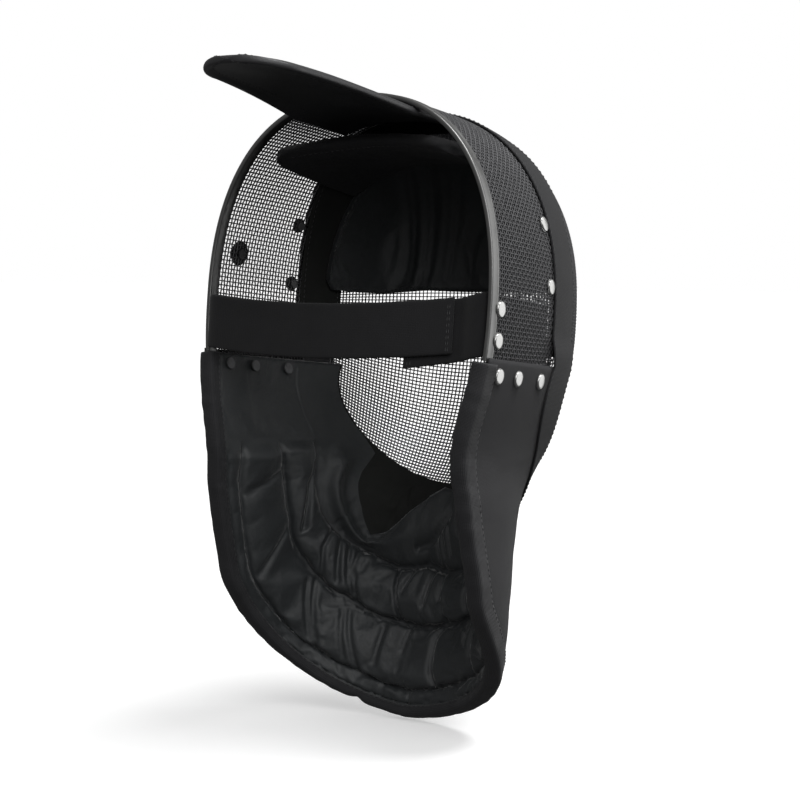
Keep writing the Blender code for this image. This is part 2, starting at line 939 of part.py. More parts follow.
def tab_route(share):
    """The tab leaves the right wall and lies in front of the strap's free end."""
    depth = strap_thickness + clearance * 1.5
    lap_start = -wall_x(0) * tab_lap_start
    lap_mid = -wall_x(0) * (tab_lap_start + strap_lap_end) / 2
    lap_end = -wall_x(0) * strap_lap_end
    along_wall = [(-wall_x(-strap_end_depth * k), -strap_end_depth * k) for k in strap_wall_shares]
    points = (
        *along_wall,
        (-wall_x(0) + depth * 0.2, -rim_leg * 0.68),
        (-wall_x(0) + depth * 2.6, -rim_leg * 0.55),
        (lap_end - depth, strap_depth_at(lap_end) - depth * 1.25),
        (lap_mid, strap_depth_at(lap_mid) - depth * 1.12),
        (lap_start, strap_depth_at(lap_start) - depth * 1.12),
    )
    return curve_through(points, share)


def strap_depth_at(x):
    """Depth of the strap's middle where it passes x, found by halving along its free run."""
    low, high = 0.3, 1.0
    for _ in range(40):
        middle = (low + high) / 2
        if strap_route(middle).x > x:
            low = middle
        else:
            high = middle
    return strap_route(low).y


def build_strap(name, route, height_of, count, cutter):
    mesh = grid_mesh(name, ribbon_rows(route, height_of, strap_width, count))
    part = add_part(name, mesh, elastic)
    solidify(part, strap_thickness)
    cut(part, cutter)
    return part


def spool_mesh(name, top, bottom, head_radius, head_height, tail_radius):
    """Half outline of a rivet: a low domed head, its shank and the flat tail inside."""
    shape = bmesh.new()
    outline = (
        (0, top + head_height), (head_radius * 0.72, top + head_height * 0.8),
        (head_radius, top), (rivet_shank_radius, top), (rivet_shank_radius, bottom),
        (tail_radius, bottom), (0, bottom - rivet_tail_height),
    )
    points = [shape.verts.new((radius, 0, z)) for radius, z in outline]
    for a, b in pairwise(points):
        shape.edges.new((a, b))
    mesh = bpy.data.meshes.new(name)
    shape.to_mesh(mesh)
    shape.free()
    return mesh


def add_spool(name, mesh, place, material):
    part = bpy.data.objects.new(name, mesh)
    parts.objects.link(part)
    part.parent = hanger
    part.matrix_local = place
    if not mesh.materials:
        mesh.materials.append(material)
    screw = part.modifiers.new("Screw", "SCREW")
    screw.steps = 8
    screw.render_steps = 8
    screw.use_merge_vertices = True
    screw.merge_threshold = 0.00001
    screw.use_smooth_shade = True
    return part


def add_rivets(name, sides, outside, inside):
    """Rivets on the left and the right, through layers that reach outside and inside the mesh."""
    mesh = spool_mesh(
        name, outside + clearance, -inside - 2 * clearance,
        rivet_head_radius, rivet_head_height, rivet_tail_radius,
    )
    for side, places in zip(("left", "right"), sides):
        for number, place in enumerate(places, start=1):
            add_spool(f"{name}_{side}_{number}", mesh, place, bright_steel)


def add_side_button(place):
    mesh = spool_mesh(
        "side_button", mesh_thickness / 2 + clearance, -mesh_thickness / 2 - 2 * clearance,
        button_radius, button_height, button_radius * 0.9,
    )
    add_spool("side_button", mesh, place, black_plastic)


def bib_rivet_places():
    height = bib_top_height - bib_rivet_drop
    return [wall_place(depth, height) for depth in bib_rivet_depths]


def mesh_rivet_places():
    """Rivets through the rear mesh just behind the cover band."""
    places = []
    for height in mesh_rivet_heights:
        depth = band_setback_side
        for _ in range(4):
            depth = -band_rear(angle_at(-depth, height)) - mesh_rivet_inset
        places.append(wall_place(depth, height))
    return places


def strap_rivet_places():
    """Two rivets through the strap's end on the left wall and two through the tab's end."""
    left, right = [], []
    for offset in (strap_rivet_spread, -strap_rivet_spread):
        left.append(wall_place(strap_rivet_depth, strap_middle(wall_x(0)) + offset))
        right.append(mirrored(wall_place(strap_rivet_depth, tab_middle(-wall_x(0)) + offset)))
    return left, right


def build_mask():
    hole = rivet_shank_radius + clearance
    on_bib = bib_rivet_places()
    on_mesh = mesh_rivet_places()
    on_strap_left, on_strap_right = strap_rivet_places()
    on_side = wall_place(button_depth, button_height_on_cage)
    bib_cutter = hole_cutter("cut_bib_rivets", both_sides(on_bib), hole)
    strap_cutter = hole_cutter("cut_strap_rivets", on_strap_left, hole)
    tab_cutter = hole_cutter("cut_tab_rivets", on_strap_right, hole)
    all_holes = [*both_sides([*on_bib, *on_mesh]), *on_strap_left, *on_strap_right, on_side]
    mesh_cutter = hole_cutter("cut_mesh_rivets", all_holes, hole)
    build_rim()
    build_rear_mesh(mesh_cutter)
    build_face_mesh()
    build_outer_band()
    build_inner_band()
    build_bib_shell(bib_cutter)
    build_bib_lining(bib_cutter)
    build_hem_tape()
    build_tongue()
    build_crown_pad()
    build_forehead_lining()
    build_strap("head_strap", strap_route, strap_middle, 38, strap_cutter)
    build_strap("strap_tab", tab_route, tab_middle, 30, tab_cutter)
    bib_sides = (on_bib, [mirrored(place) for place in on_bib])
    add_rivets("bib_rivet", bib_sides, bib_stand_off + bib_cloth / 2, lining_stand_in + lining_pad / 2)
    mesh_sides = (on_mesh, [mirrored(place) for place in on_mesh])
    add_rivets("mesh_rivet", mesh_sides, mesh_thickness / 2, mesh_thickness / 2)
    upper = strap_height + strap_rivet_spread
    strap_gap = cage_half(-strap_rivet_depth, upper) - wall_x(-strap_rivet_depth)
    strap_face = strap_gap + strap_thickness / 2 + clearance
    rim_face = mesh_thickness / 2 + clearance + rim_sheet
    add_rivets("strap_rivet", (on_strap_left, on_strap_right), rim_face, strap_face)
    add_side_button(on_side)


hole_cutter_length = 2 * (bib_stand_off + lining_stand_in + lining_pad + bib_cloth)
hem_arc_length = math.hypot(cage_half_width, bib_length - bib_side_length)

clean_scene()
parts = bpy.data.collections.new("fencing_mask")
cutters = bpy.data.collections.new("cutters")
bpy.context.scene.collection.children.link(parts)
bpy.context.scene.collection.children.link(cutters)

steel = make_material("rim_steel", (0.13, 0.13, 0.13), 0.35, 0.8)
bright_steel = make_material("rivet_steel", (0.62, 0.62, 0.62), 0.25, 1.0)
wire = make_material("mesh_wire", (0.08, 0.08, 0.085), 0.45, 0.6)
black_cloth = make_material("black_cloth", (0.022, 0.022, 0.024), 0.8)
bib_fabric = make_material("bib_fabric", (0.02, 0.02, 0.022), 0.7)
lining_satin = make_material("lining_satin", (0.03, 0.03, 0.032), 0.5)
vinyl = make_material("tongue_vinyl", (0.03, 0.03, 0.032), 0.35)
elastic = make_material("strap_elastic", (0.018, 0.018, 0.02), 0.75)
black_plastic = make_material("button_plastic", (0.01, 0.01, 0.011), 0.4)

# The head's crown bears on the pad's underside, half way between its rear and front edge
seat = Vector((0, -(pad_tip_setback + pad_bow + pad_front_setback) / 2, pad_height - pad_thickness / 2))
hanger = bpy.data.objects.new("hang", None)
bpy.context.scene.collection.objects.link(hanger)
tip = Matrix.Rotation(nod_angle, 4, "X")
hanger.matrix_world = tip @ Matrix.Translation(-seat)
bpy.context.view_layer.update()

build_mask()
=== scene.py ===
# Fencing mask seen from behind and inside: wire cage, steel rim, quilted bib, strap and tongue.
# Sizes are in millimetres and in the mask's own frame, as in the CAD: -Y is where the wearer
# looks, +X the wearer's left, y = 0 the rim's plane. toRow() puts points in the row frame.
import math

import bmesh
import bpy
import numpy as np
from mathutils import Matrix, Vector


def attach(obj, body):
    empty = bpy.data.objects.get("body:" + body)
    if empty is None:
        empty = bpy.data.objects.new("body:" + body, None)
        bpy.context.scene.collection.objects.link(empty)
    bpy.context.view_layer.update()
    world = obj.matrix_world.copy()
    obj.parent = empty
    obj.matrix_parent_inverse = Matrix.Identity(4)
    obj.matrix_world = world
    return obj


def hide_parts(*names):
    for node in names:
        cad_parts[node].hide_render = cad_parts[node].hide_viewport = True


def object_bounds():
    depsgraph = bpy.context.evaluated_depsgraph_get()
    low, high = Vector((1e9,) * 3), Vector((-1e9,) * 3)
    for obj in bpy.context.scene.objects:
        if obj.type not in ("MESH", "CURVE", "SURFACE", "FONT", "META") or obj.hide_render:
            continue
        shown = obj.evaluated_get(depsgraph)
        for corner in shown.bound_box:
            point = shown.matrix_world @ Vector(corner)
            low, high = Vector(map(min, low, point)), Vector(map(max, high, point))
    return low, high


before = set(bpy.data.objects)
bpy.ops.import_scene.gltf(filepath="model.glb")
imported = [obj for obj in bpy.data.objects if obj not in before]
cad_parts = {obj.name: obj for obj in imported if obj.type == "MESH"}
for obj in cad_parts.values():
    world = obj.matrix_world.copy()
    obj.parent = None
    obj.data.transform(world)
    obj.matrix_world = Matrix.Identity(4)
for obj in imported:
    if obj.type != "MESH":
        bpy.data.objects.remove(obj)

cadBox = [list(corner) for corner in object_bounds()]
print("frame loaded", len(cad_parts), "nodes")

mask = {
    "halfWidth": 115.5, "eyeLine": 35, "crown": 140, "jaw": 166, "nose": 210, "taper": 0.05,
    "crownRound": 2.38, "jawRound": 2.2, "planRound": 3.1, "browRound": 3.3, "chinRound": 2.4,
    "nod": 6.3, "seat": (0, -73, 145), "gap": 0.3,
}
band = {"setbackSide": 95, "setbackTop": 76, "width": 39, "cloth": 1.5, "lowAngle": -8.5}
bib = {
    "top": -1.5, "length": 246, "side": 155, "cornerRound": 1.86, "lap": 3.5,
    "cloth": 1.6, "standOff": 3.0, "pad": 4.5, "standIn": 4.4, "seam": -55,
    "bagStart": -25, "bagFull": -95, "sillDrop": 88,
    "acrossRun": 150, "alongRun": 300,  # rough lengths, for relief that is given in millimetres
    # drop, half width, rear, depth, roundness of the bag's plan
    "bag": (
        (0.00, 1.000, -0.004, 0.985, 2.40),
        (0.20, 0.930, 0.008, 0.905, 2.20),
        (0.38, 0.900, -0.030, 0.715, 2.00),
        (0.60, 0.905, -0.118, 0.635, 1.90),
        (0.80, 0.865, -0.205, 0.590, 1.75),
        (1.00, 0.730, -0.290, 0.540, 1.65),
    ),
}


# Geometry of the cage and the bib, on whole arrays of points

def toRow(points):
    turn = math.radians(mask["nod"])
    moved = (np.asarray(points, float) - mask["seat"]) / 1000
    y = moved[..., 1] * math.cos(turn) - moved[..., 2] * math.sin(turn)
    z = moved[..., 1] * math.sin(turn) + moved[..., 2] * math.cos(turn)
    return np.stack([moved[..., 0], y, z], -1)


def signedPower(value, power):
    return np.sign(value) * np.abs(value) ** power


def ease(value, start, end):
    share = np.clip((value - start) / (end - start), 0, 1)
    return share * share * (3 - 2 * share)


def quarterRound(share):
    # Height over a rounded border: 0 at the border, 1 where the rounding ends
    return np.sqrt(np.clip(1 - (1 - share) ** 2, 0, 1))


def runAlong(line):
    # How far each point of a line lies from its start
    return np.concatenate([[0], np.cumsum(np.linalg.norm(np.diff(line, axis=0), axis=1))])


def unit(vectors):
    length = np.linalg.norm(vectors, axis=-1, keepdims=True)
    return vectors / np.maximum(length, 1e-9)


def depthShares(y):
    share = np.clip(-y / mask["nose"], 0, 1)
    return [(1 - share ** mask[k]) ** (1 / mask[k]) for k in ("planRound", "browRound", "chinRound")]


def cagePoint(angle, y):
    angle, y = np.broadcast_arrays(np.asarray(angle, float), np.asarray(y, float))
    wide, high, low = depthShares(y)
    width = (mask["halfWidth"] + mask["taper"] * np.minimum(y, 0)) * wide
    upper = np.sin(angle) >= 0
    tall = np.where(upper, mask["crown"] * high, mask["jaw"] * low)
    power = 2 / np.where(upper, mask["crownRound"], mask["jawRound"])
    x = width * signedPower(np.cos(angle), power)
    return np.stack([x, y, mask["eyeLine"] + tall * signedPower(np.sin(angle), power)], -1)


def cageHalf(y, z):
    wide, high, low = depthShares(y)
    width = (mask["halfWidth"] + mask["taper"] * np.minimum(y, 0)) * wide
    upper = z >= mask["eyeLine"]
    tall = np.where(upper, mask["crown"] * high, mask["jaw"] * low)
    power = np.where(upper, mask["crownRound"], mask["jawRound"])
    share = np.clip(np.abs(z - mask["eyeLine"]) / np.maximum(tall, 1e-6), 0, 1)
    return width * (1 - share ** power) ** (1 / power)


def frontDepth(x, z):
    near, far = np.zeros(np.broadcast(x, z).shape), np.full(np.broadcast(x, z).shape, -float(mask["nose"]))
    for _ in range(34):
        middle = (near + far) / 2
        inside = cageHalf(middle, z) > np.abs(x)
        near, far = np.where(inside, middle, near), np.where(inside, far, middle)
    return near


def angleAt(y, z):
    _, high, low = depthShares(y)
    upper = z >= mask["eyeLine"]
    tall = np.where(upper, mask["crown"] * high, mask["jaw"] * low)
    power = np.where(upper, mask["crownRound"], mask["jawRound"])
    share = np.clip(np.abs(z - mask["eyeLine"]) / np.maximum(tall, 1e-6), 0, 1)
    return np.sign(z - mask["eyeLine"]) * np.arcsin(share ** (power / 2))


def bagLevel(z):
    drop = np.clip((bib["top"] - z) / bib["length"], 0, 1)
    rows = np.array(bib["bag"])
    last = len(rows) - 1
    at = np.clip(np.searchsorted(rows[:, 0], drop, side="left") - 1, 0, last - 1)
    before, start = rows[np.maximum(at - 1, 0)], rows[at]
    end, after = rows[at + 1], rows[np.minimum(at + 2, last)]
    span = (end - start)[..., :1]
    t = (drop[..., None] - start[..., :1]) / span
    leave = (end - before) * span / (end - before)[..., :1]
    arrive = (after - start) * span / (after - start)[..., :1]
    return (start * (2 * t**3 - 3 * t**2 + 1) + leave * (t**3 - 2 * t**2 + t)
            + end * (3 * t**2 - 2 * t**3) + arrive * (t**3 - t**2))


def bibPoint(angle, z):
    angle, z = np.broadcast_arrays(np.asarray(angle, float), np.asarray(z, float))
    level = bagLevel(z)
    rear = level[..., 2] * mask["nose"]
    along = signedPower(np.sin(angle), 2 / bib["bag"][0][4])
    x = level[..., 1] * mask["halfWidth"] * np.abs(np.cos(angle)) ** (2 / level[..., 4])
    bag = np.stack([x, rear - (level[..., 3] * mask["nose"] + rear) * along, z], -1)
    reach = frontDepth(np.zeros_like(z), z)
    y = rear + (reach - rear) * along
    wall = np.stack([cageHalf(y, z), y, z], -1)
    blend = ease(-z, -bib["bagStart"], -bib["bagFull"])[..., None]
    point = np.where(z[..., None] > bib["bagFull"], wall + (bag - wall) * blend, bag)
    point[..., 0] = np.abs(point[..., 0]) * np.where(np.cos(angle) < 0, -1, 1)
    return point


def lifted(surface, u, v, distance, stepU=0.0004, stepV=0.4):
    u, v, distance = np.broadcast_arrays(*(np.asarray(a, float) for a in (u, v, distance)))
    here = surface(u, v)
    alongU = surface(u + stepU, v) - surface(u - stepU, v)
    alongV = surface(u, v + stepV) - surface(u, v - stepV)
    normal = unit(np.cross(alongU, alongV))
    middle = np.zeros_like(here)
    middle[..., 1] = -mask["nose"] * 0.3
    middle[..., 2] = np.minimum(here[..., 2], mask["eyeLine"])
    flip = np.sum(normal * (here - middle), -1, keepdims=True) < 0
    return here + np.where(flip, -normal, normal) * distance[..., None]


def onCage(angle, y, distance):
    return lifted(cagePoint, angle, y, distance)


def bandRear(angle):
    rise = np.maximum(0, np.sin(angle)) ** 1.5
    return -(band["setbackSide"] + (band["setbackTop"] - band["setbackSide"]) * rise)


sillHalf = float(cageHalf(np.array(-(band["setbackSide"] + band["width"])), np.array(bib["top"])))
hemArc = math.hypot(mask["halfWidth"], bib["length"] - bib["side"])
sideShare = bib["side"] / (bib["side"] + hemArc)
seamShare = sideShare * (bib["top"] - bib["seam"]) / bib["side"]
seamTurn = math.asin((bib["top"] - bib["seam"]) / bib["sillDrop"])


def hemPlace(share):
    turn = np.clip((share - sideShare) / (1 - sideShare), 0, 1) * math.pi / 2
    power = 2 / bib["cornerRound"]
    low = bib["length"] - bib["side"]
    height = bib["top"] - bib["side"] * np.minimum(share / sideShare, 1) - low * np.sin(turn) ** power
    return math.pi / 2 * (1 - np.maximum(0, np.cos(turn)) ** power), height


def bibGrid(u, across, distance, lap=0.0):
    # u runs along the hem from the left top (0) over the chin (1) to the right top (2)
    u, across, distance = np.broadcast_arrays(*(np.asarray(a, float) for a in (u, across, distance)))
    share = np.minimum(u, 2 - u)
    hemAngle, hemHeight = hemPlace(share)
    upperTurn = np.arcsin(np.clip((bib["top"] - hemHeight) / bib["sillDrop"], 0, 1))
    lowerTurn = seamTurn + (math.pi / 2 - seamTurn) * (share - seamShare) / (1 - seamShare)
    turn = np.where(share <= seamShare, upperTurn, lowerTurn)
    sillX, sillZ = sillHalf * np.cos(turn), bib["top"] - bib["sillDrop"] * np.sin(turn)
    sillY = frontDepth(sillX, sillZ)
    rear = bagLevel(sillZ)[..., 2] * mask["nose"]
    reach = bibPoint(np.full_like(sillZ, math.pi / 2), sillZ)[..., 1]
    sillAngle = np.arcsin(np.clip((sillY - rear) / (reach - rear), 0, 1) ** (bib["bag"][0][4] / 2))
    angle = hemAngle + (sillAngle - hemAngle) * across
    height = hemHeight + (sillZ - hemHeight) * across
    height = height + lap * np.maximum(0, 1 - share / seamShare)
    point = lifted(bibPoint, angle, height, distance)
    seatPoint = onCage(angleAt(sillY, sillZ), sillY, distance)
    miss = seatPoint - lifted(bibPoint, sillAngle, sillZ, distance)
    point = point + miss * ease(across, 0.35, 1)[..., None]
    point[..., 0] = np.where(share >= 1, 0, point[..., 0])
    point[..., 0] *= np.where(u > 1, -1, 1)
    return point


# Mesh building

def makeObject(name, points, faces, uv=None):
    mesh = bpy.data.meshes.new(name)
    mesh.from_pydata(toRow(points).tolist(), [], faces)
    mesh.shade_smooth()
    if uv is not None:
        layer = mesh.uv_layers.new(name="cloth")
        loops = np.empty(len(mesh.loops), int)
        mesh.loops.foreach_get("vertex_index", loops)
        layer.uv.foreach_set("vector", np.asarray(uv, float)[loops].ravel())
    made = bpy.data.objects.new(name, mesh)
    bpy.context.scene.collection.objects.link(made)
    return made


def gridFaces(index):
    a, b = index[:-1, :-1], index[:-1, 1:]
    c, d = index[1:, 1:], index[1:, :-1]
    return np.stack([a, b, c, d], -1).reshape(-1, 4)


def flatLengths(grid):
    # Texture places in metres: how far each point lies along the grid's two directions
    du = np.linalg.norm(np.diff(grid, axis=0), axis=-1).mean(1)
    dv = np.linalg.norm(np.diff(grid, axis=1), axis=-1).mean(0)
    along = np.concatenate([[0], np.cumsum(du)])
    over = np.concatenate([[0], np.cumsum(dv)])
    return np.stack(np.meshgrid(along, over, indexing="ij"), -1).reshape(-1, 2) / 1000


def skinBody(name, outer, inner, mark=None):
    # A closed body between two skins of the same grid, which share their border
    rows, columns = outer.shape[:2]
    index = np.arange(rows * columns).reshape(rows, columns)
    back = index + rows * columns
    for edge in ((0, slice(None)), (-1, slice(None)), (slice(None), 0), (slice(None), -1)):
        back[edge] = index[edge]
        outer[edge] = (outer[edge] + inner[edge]) / 2
    faces = np.concatenate([gridFaces(index), gridFaces(back)[:, ::-1]])
    uv = flatLengths(outer)
    made = makeObject(name, np.concatenate([outer.reshape(-1, 3), inner.reshape(-1, 3)]),
                      faces.tolist(), np.concatenate([uv, uv]))
    made.data.validate()
    if mark is not None:
        layer = made.data.attributes.new("cup", "BOOLEAN", "POINT")
        layer.data.foreach_set("value", np.tile(mark.ravel(), 2))
    cleanMesh(made)
    return made


def cleanMesh(made):
    # Drops points that no face uses and turns the faces out
    shape = bmesh.new()
    shape.from_mesh(made.data)
    loose = [v for v in shape.verts if not v.link_faces]
    bmesh.ops.delete(shape, geom=loose, context="VERTS")
    bmesh.ops.recalc_face_normals(shape, faces=shape.faces)
    shape.to_mesh(made.data)
    shape.free()


def edgeSteps(count, width, radius, borderSteps=4):
    # Stations from 0 to 1, close together at both borders so that the rounding shows
    border = (1 - np.cos(np.linspace(0, math.pi / 2, borderSteps + 1))) * radius / width
    inner = np.linspace(border[-1], 1 - border[-1], count)
    return np.concatenate([border[:-1], inner, 1 - border[:-1][::-1]])


def thicknessAt(stations, width, radius):
    near = np.clip(np.minimum(stations, 1 - stations) * width / radius, 0, 1)
    return quarterRound(near)


def tubePaths(name, paths, normals, radius, sides=4):
    # Round wires along point paths, all in one mesh
    points, faces, start = [], [], 0
    turn = np.linspace(0, 2 * math.pi, sides, endpoint=False) + math.pi / sides
    thick = np.atleast_1d(radius)[:, None, None]
    for path, normal in zip(paths, normals):
        run = unit(np.gradient(path, axis=0))
        side = unit(np.cross(run, normal))
        up = np.cross(side, run)
        ring = path[:, None] + thick * (np.cos(turn)[None, :, None] * side[:, None]
                                        + np.sin(turn)[None, :, None] * up[:, None])
        points.append(ring.reshape(-1, 3))
        count = len(path)
        index = start + np.arange(count * sides).reshape(count, sides)
        index = np.concatenate([index, index[:, :1]], 1)
        faces += gridFaces(index).tolist()
        faces += [index[0, :sides].tolist(), index[-1, :sides][::-1].tolist()]
        start += count * sides
    return makeObject(name, np.concatenate(points), faces)


latheSegments = 32


def lathe(outline, place, segments=latheSegments):
    # A turned piece: outline of (radius, height) pairs, place a 4x4 array
    turn = np.linspace(0, 2 * math.pi, segments, endpoint=False)
    outline = np.asarray(outline, float)
    ring = np.stack([outline[:, None, 0] * np.cos(turn), outline[:, None, 0] * np.sin(turn),
                     np.repeat(outline[:, 1:], segments, 1)], -1)
    points = ring.reshape(-1, 3) @ place[:3, :3].T + place[:3, 3]
    index = np.arange(len(outline) * segments).reshape(len(outline), segments)
    index = np.concatenate([index, index[:, :1]], 1)
    return points, gridFaces(index)


def joined(name, bodies):
    points, faces, start = [], [], 0
    for bodyPoints, bodyFaces in bodies:
        points.append(bodyPoints)
        faces.append(bodyFaces + start)
        start += len(bodyPoints)
    made = makeObject(name, np.concatenate(points), np.concatenate(faces).tolist())
    cleanMesh(made)
    return made


stitches = {"length": 2.6, "gap": 1.4, "radius": 0.3, "lift": 0.25}
stitchPaths, stitchUps = [], []


def stitchAlong(line, normal):
    # Adds a row of lock stitches on a surface line; all rows become one mesh at the end
    run = runAlong(line)
    starts = np.arange(1, run[-1] - stitches["length"] - 1, stitches["length"] + stitches["gap"])
    points, ups = [], []
    for share, rise in ((0.0, -0.1), (0.5, stitches["lift"]), (1.0, -0.1)):
        at = starts + stitches["length"] * share
        place = np.stack([np.interp(at, run, line[:, k]) for k in range(3)], -1)
        up = unit(np.stack([np.interp(at, run, normal[:, k]) for k in range(3)], -1))
        points.append(place + up * rise)
        ups.append(up)
    stitchPaths.extend(np.stack(points, 1))
    stitchUps.extend(np.stack(ups, 1))


def noise1(x, seed, scale):
    # Smooth random curve through values at whole steps, always the same for one seed
    rng = np.random.default_rng(seed)
    table = rng.uniform(-1, 1, 512)
    place = np.asarray(x, float) / scale + 100
    low = np.floor(place).astype(int)
    t = place - low
    t = t * t * (3 - 2 * t)
    return table[low % 512] * (1 - t) + table[(low + 1) % 512] * t


def noise2(x, y, seed, scaleX, scaleY):
    rng = np.random.default_rng(seed)
    table = rng.uniform(-1, 1, (64, 64))
    px, py = np.asarray(x, float) / scaleX + 20, np.asarray(y, float) / scaleY + 20
    ix, iy = np.floor(px).astype(int), np.floor(py).astype(int)
    tx, ty = px - ix, py - iy
    tx, ty = tx * tx * (3 - 2 * tx), ty * ty * (3 - 2 * ty)
    a, b = table[ix % 64, iy % 64], table[(ix + 1) % 64, iy % 64]
    c, d = table[ix % 64, (iy + 1) % 64], table[(ix + 1) % 64, (iy + 1) % 64]
    return (a * (1 - tx) + b * tx) * (1 - ty) + (c * (1 - tx) + d * tx) * ty


# Materials

class Signal:
    # A socket in a material; sums and products of signals add Math nodes
    def __init__(self, paint, socket):
        self.paint = paint
        self.socket = socket

    def math(self, operation, *values):
        return self.paint.add("ShaderNodeMath", {"operation": operation}, dict(enumerate(values)))

    def __add__(self, other):
        return self.math("ADD", self, other)

    __radd__ = __add__

    def __sub__(self, other):
        return self.math("SUBTRACT", self, other)

    def __rsub__(self, other):
        return self.math("SUBTRACT", other, self)

    def __mul__(self, other):
        return self.math("MULTIPLY", self, other)

    __rmul__ = __mul__


class Paint:
    # One material: a Principled shader with constants, and nodes that feed it
    def __init__(self, name, color, roughness, metallic=0.0, **constants):
        self.material = bpy.data.materials.new(name)
        self.material.use_nodes = True
        self.nodes = self.material.node_tree.nodes
        self.links = self.material.node_tree.links
        self.shader = self.nodes["Principled BSDF"]
        self.shader.inputs["Base Color"].default_value = (*color, 1)
        self.shader.inputs["Roughness"].default_value = roughness
        self.shader.inputs["Metallic"].default_value = metallic
        self.material.diffuse_color = (*color, 1)
        for key, value in constants.items():
            self.shader.inputs[key].default_value = value

    def add(self, kind, settings, inputs, output=0):
        node = self.nodes.new(kind)
        for key, value in settings.items():
            setattr(node, key, value)
        for key, value in inputs.items():
            if isinstance(value, Signal):
                self.links.new(value.socket, node.inputs[key])
            else:
                node.inputs[key].default_value = value
        return Signal(self, node.outputs[output])

    def feed(self, name, signal):
        self.links.new(signal.socket, self.shader.inputs[name])

    def clothPlace(self):
        return self.add("ShaderNodeUVMap", {"uv_map": "cloth"}, {})

    def solidPlace(self):
        return self.add("ShaderNodeTexCoord", {}, {}, "Object")

    def noise(self, place, scale, detail=3.0, roughness=0.5):
        return self.add("ShaderNodeTexNoise", {},
                        {"Vector": place, "Scale": scale, "Detail": detail, "Roughness": roughness})

    def wave(self, place, scale, direction, profile="SIN", distortion=0.0):
        return self.add("ShaderNodeTexWave", {"bands_direction": direction, "wave_profile": profile},
                        {"Vector": place, "Scale": scale, "Distortion": distortion})

    def mix(self, factor, low, high):
        low = low if isinstance(low, Signal) else (*low, 1)
        high = high if isinstance(high, Signal) else (*high, 1)
        return self.add("ShaderNodeMix", {"data_type": "RGBA"}, {0: factor, 6: low, 7: high}, 2)

    def bump(self, height, strength, distance):
        signal = self.add("ShaderNodeBump", {}, {"Height": height, "Strength": strength, "Distance": distance})
        self.feed("Normal", signal)

    def weave(self, place, pitch):
        # Two crossed thread systems, pitch in metres
        warp = self.wave(place, 0.314 / pitch, "X")
        weft = self.wave(place, 0.314 / pitch, "Y")
        return warp * weft


def blackWire():
    paint = Paint("meshWire", (0.07, 0.07, 0.073), 0.42, 0.7)
    place = paint.solidPlace()
    wear = paint.noise(place, 260, 4)
    paint.feed("Base Color", paint.mix(wear, (0.045, 0.045, 0.048), (0.17, 0.17, 0.175)))
    paint.feed("Roughness", 0.32 + wear * 0.3)
    return paint.material


def rimSteel():
    paint = Paint("rimSteel", (0.2, 0.2, 0.2), 0.33, 0.9)
    place = paint.solidPlace()
    brushed = paint.noise(place, 500, 5)
    soil = paint.noise(place, 45, 3)
    paint.feed("Base Color", paint.mix(soil, (0.14, 0.14, 0.14), (0.26, 0.26, 0.255)))
    paint.feed("Roughness", 0.24 + brushed * 0.22)
    paint.bump(brushed, 0.12, 0.0003)
    return paint.material


def rivetSteel():
    paint = Paint("rivetSteel", (0.56, 0.56, 0.55), 0.24, 1.0)
    place = paint.solidPlace()
    scuff = paint.noise(place, 900, 4)
    paint.feed("Roughness", 0.14 + scuff * 0.2)
    paint.bump(scuff, 0.08, 0.0002)
    return paint.material


# A darker copy of the rivet steel for the tails inside the mask: painted shade
def shadedTailSteel():
    paint = Paint("shadedTailSteel", (0.16, 0.16, 0.165), 0.5, 0.85)
    soil = paint.noise(paint.solidPlace(), 420, 4)
    paint.feed("Base Color", paint.mix(soil, (0.1, 0.1, 0.104), (0.24, 0.24, 0.245)))
    paint.feed("Roughness", 0.42 + soil * 0.25)
    return paint.material


def wovenCloth(name, low, high, pitch, mottle, roughness, relief, shine):
    # mottle: scale, detail; roughness: least, span; relief: mottle's share, strength, distance;
    # shine: sheen, its roughness, specular level
    sheen = {"Sheen Weight": shine[0], "Sheen Roughness": shine[1], "Specular IOR Level": shine[2]}
    paint = Paint(name, low, roughness[0], 0, **sheen)
    threads = paint.weave(paint.clothPlace(), pitch)
    patches = paint.noise(paint.solidPlace(), *mottle)
    paint.feed("Base Color", paint.mix(patches, low, high))
    paint.feed("Roughness", roughness[0] + patches * roughness[1])
    paint.bump(threads + patches * relief[0], relief[1], relief[2])
    return paint.material


def liningSatin():
    paint = Paint("liningSatin", (0.032, 0.036, 0.038), 0.42, 0,
                  **{"Sheen Weight": 0.35, "Sheen Roughness": 0.3, "Specular IOR Level": 0.6})
    place = paint.clothPlace()
    threads = paint.weave(place, 0.0005)
    solid = paint.solidPlace()
    mottle = paint.noise(solid, 30, 4)
    creases = paint.noise(solid, 110, 5, 0.6)
    paint.feed("Base Color", paint.mix(mottle, (0.02, 0.0225, 0.0245), (0.04, 0.044, 0.046)))
    paint.feed("Roughness", 0.33 + mottle * 0.22)
    paint.bump(creases * 2.0 + threads * 0.25, 0.45, 0.0008)
    return paint.material


def edgeBinding():
    paint = Paint("edgeBinding", (0.025, 0.025, 0.027), 0.72, 0,
                  **{"Sheen Weight": 0.12, "Sheen Roughness": 0.4, "Specular IOR Level": 0.35})
    place = paint.clothPlace()
    ribs = paint.wave(place, 0.314 / 0.0013, "Y")
    picks = paint.wave(place, 0.314 / 0.0009, "X")
    mottle = paint.noise(paint.solidPlace(), 70, 4)
    paint.feed("Base Color", paint.mix(mottle, (0.016, 0.016, 0.018), (0.034, 0.034, 0.037)))
    paint.feed("Roughness", 0.6 + mottle * 0.2)
    paint.bump(ribs * 0.8 + picks * 0.6 + mottle * 0.5, 0.6, 0.0004)
    return paint.material


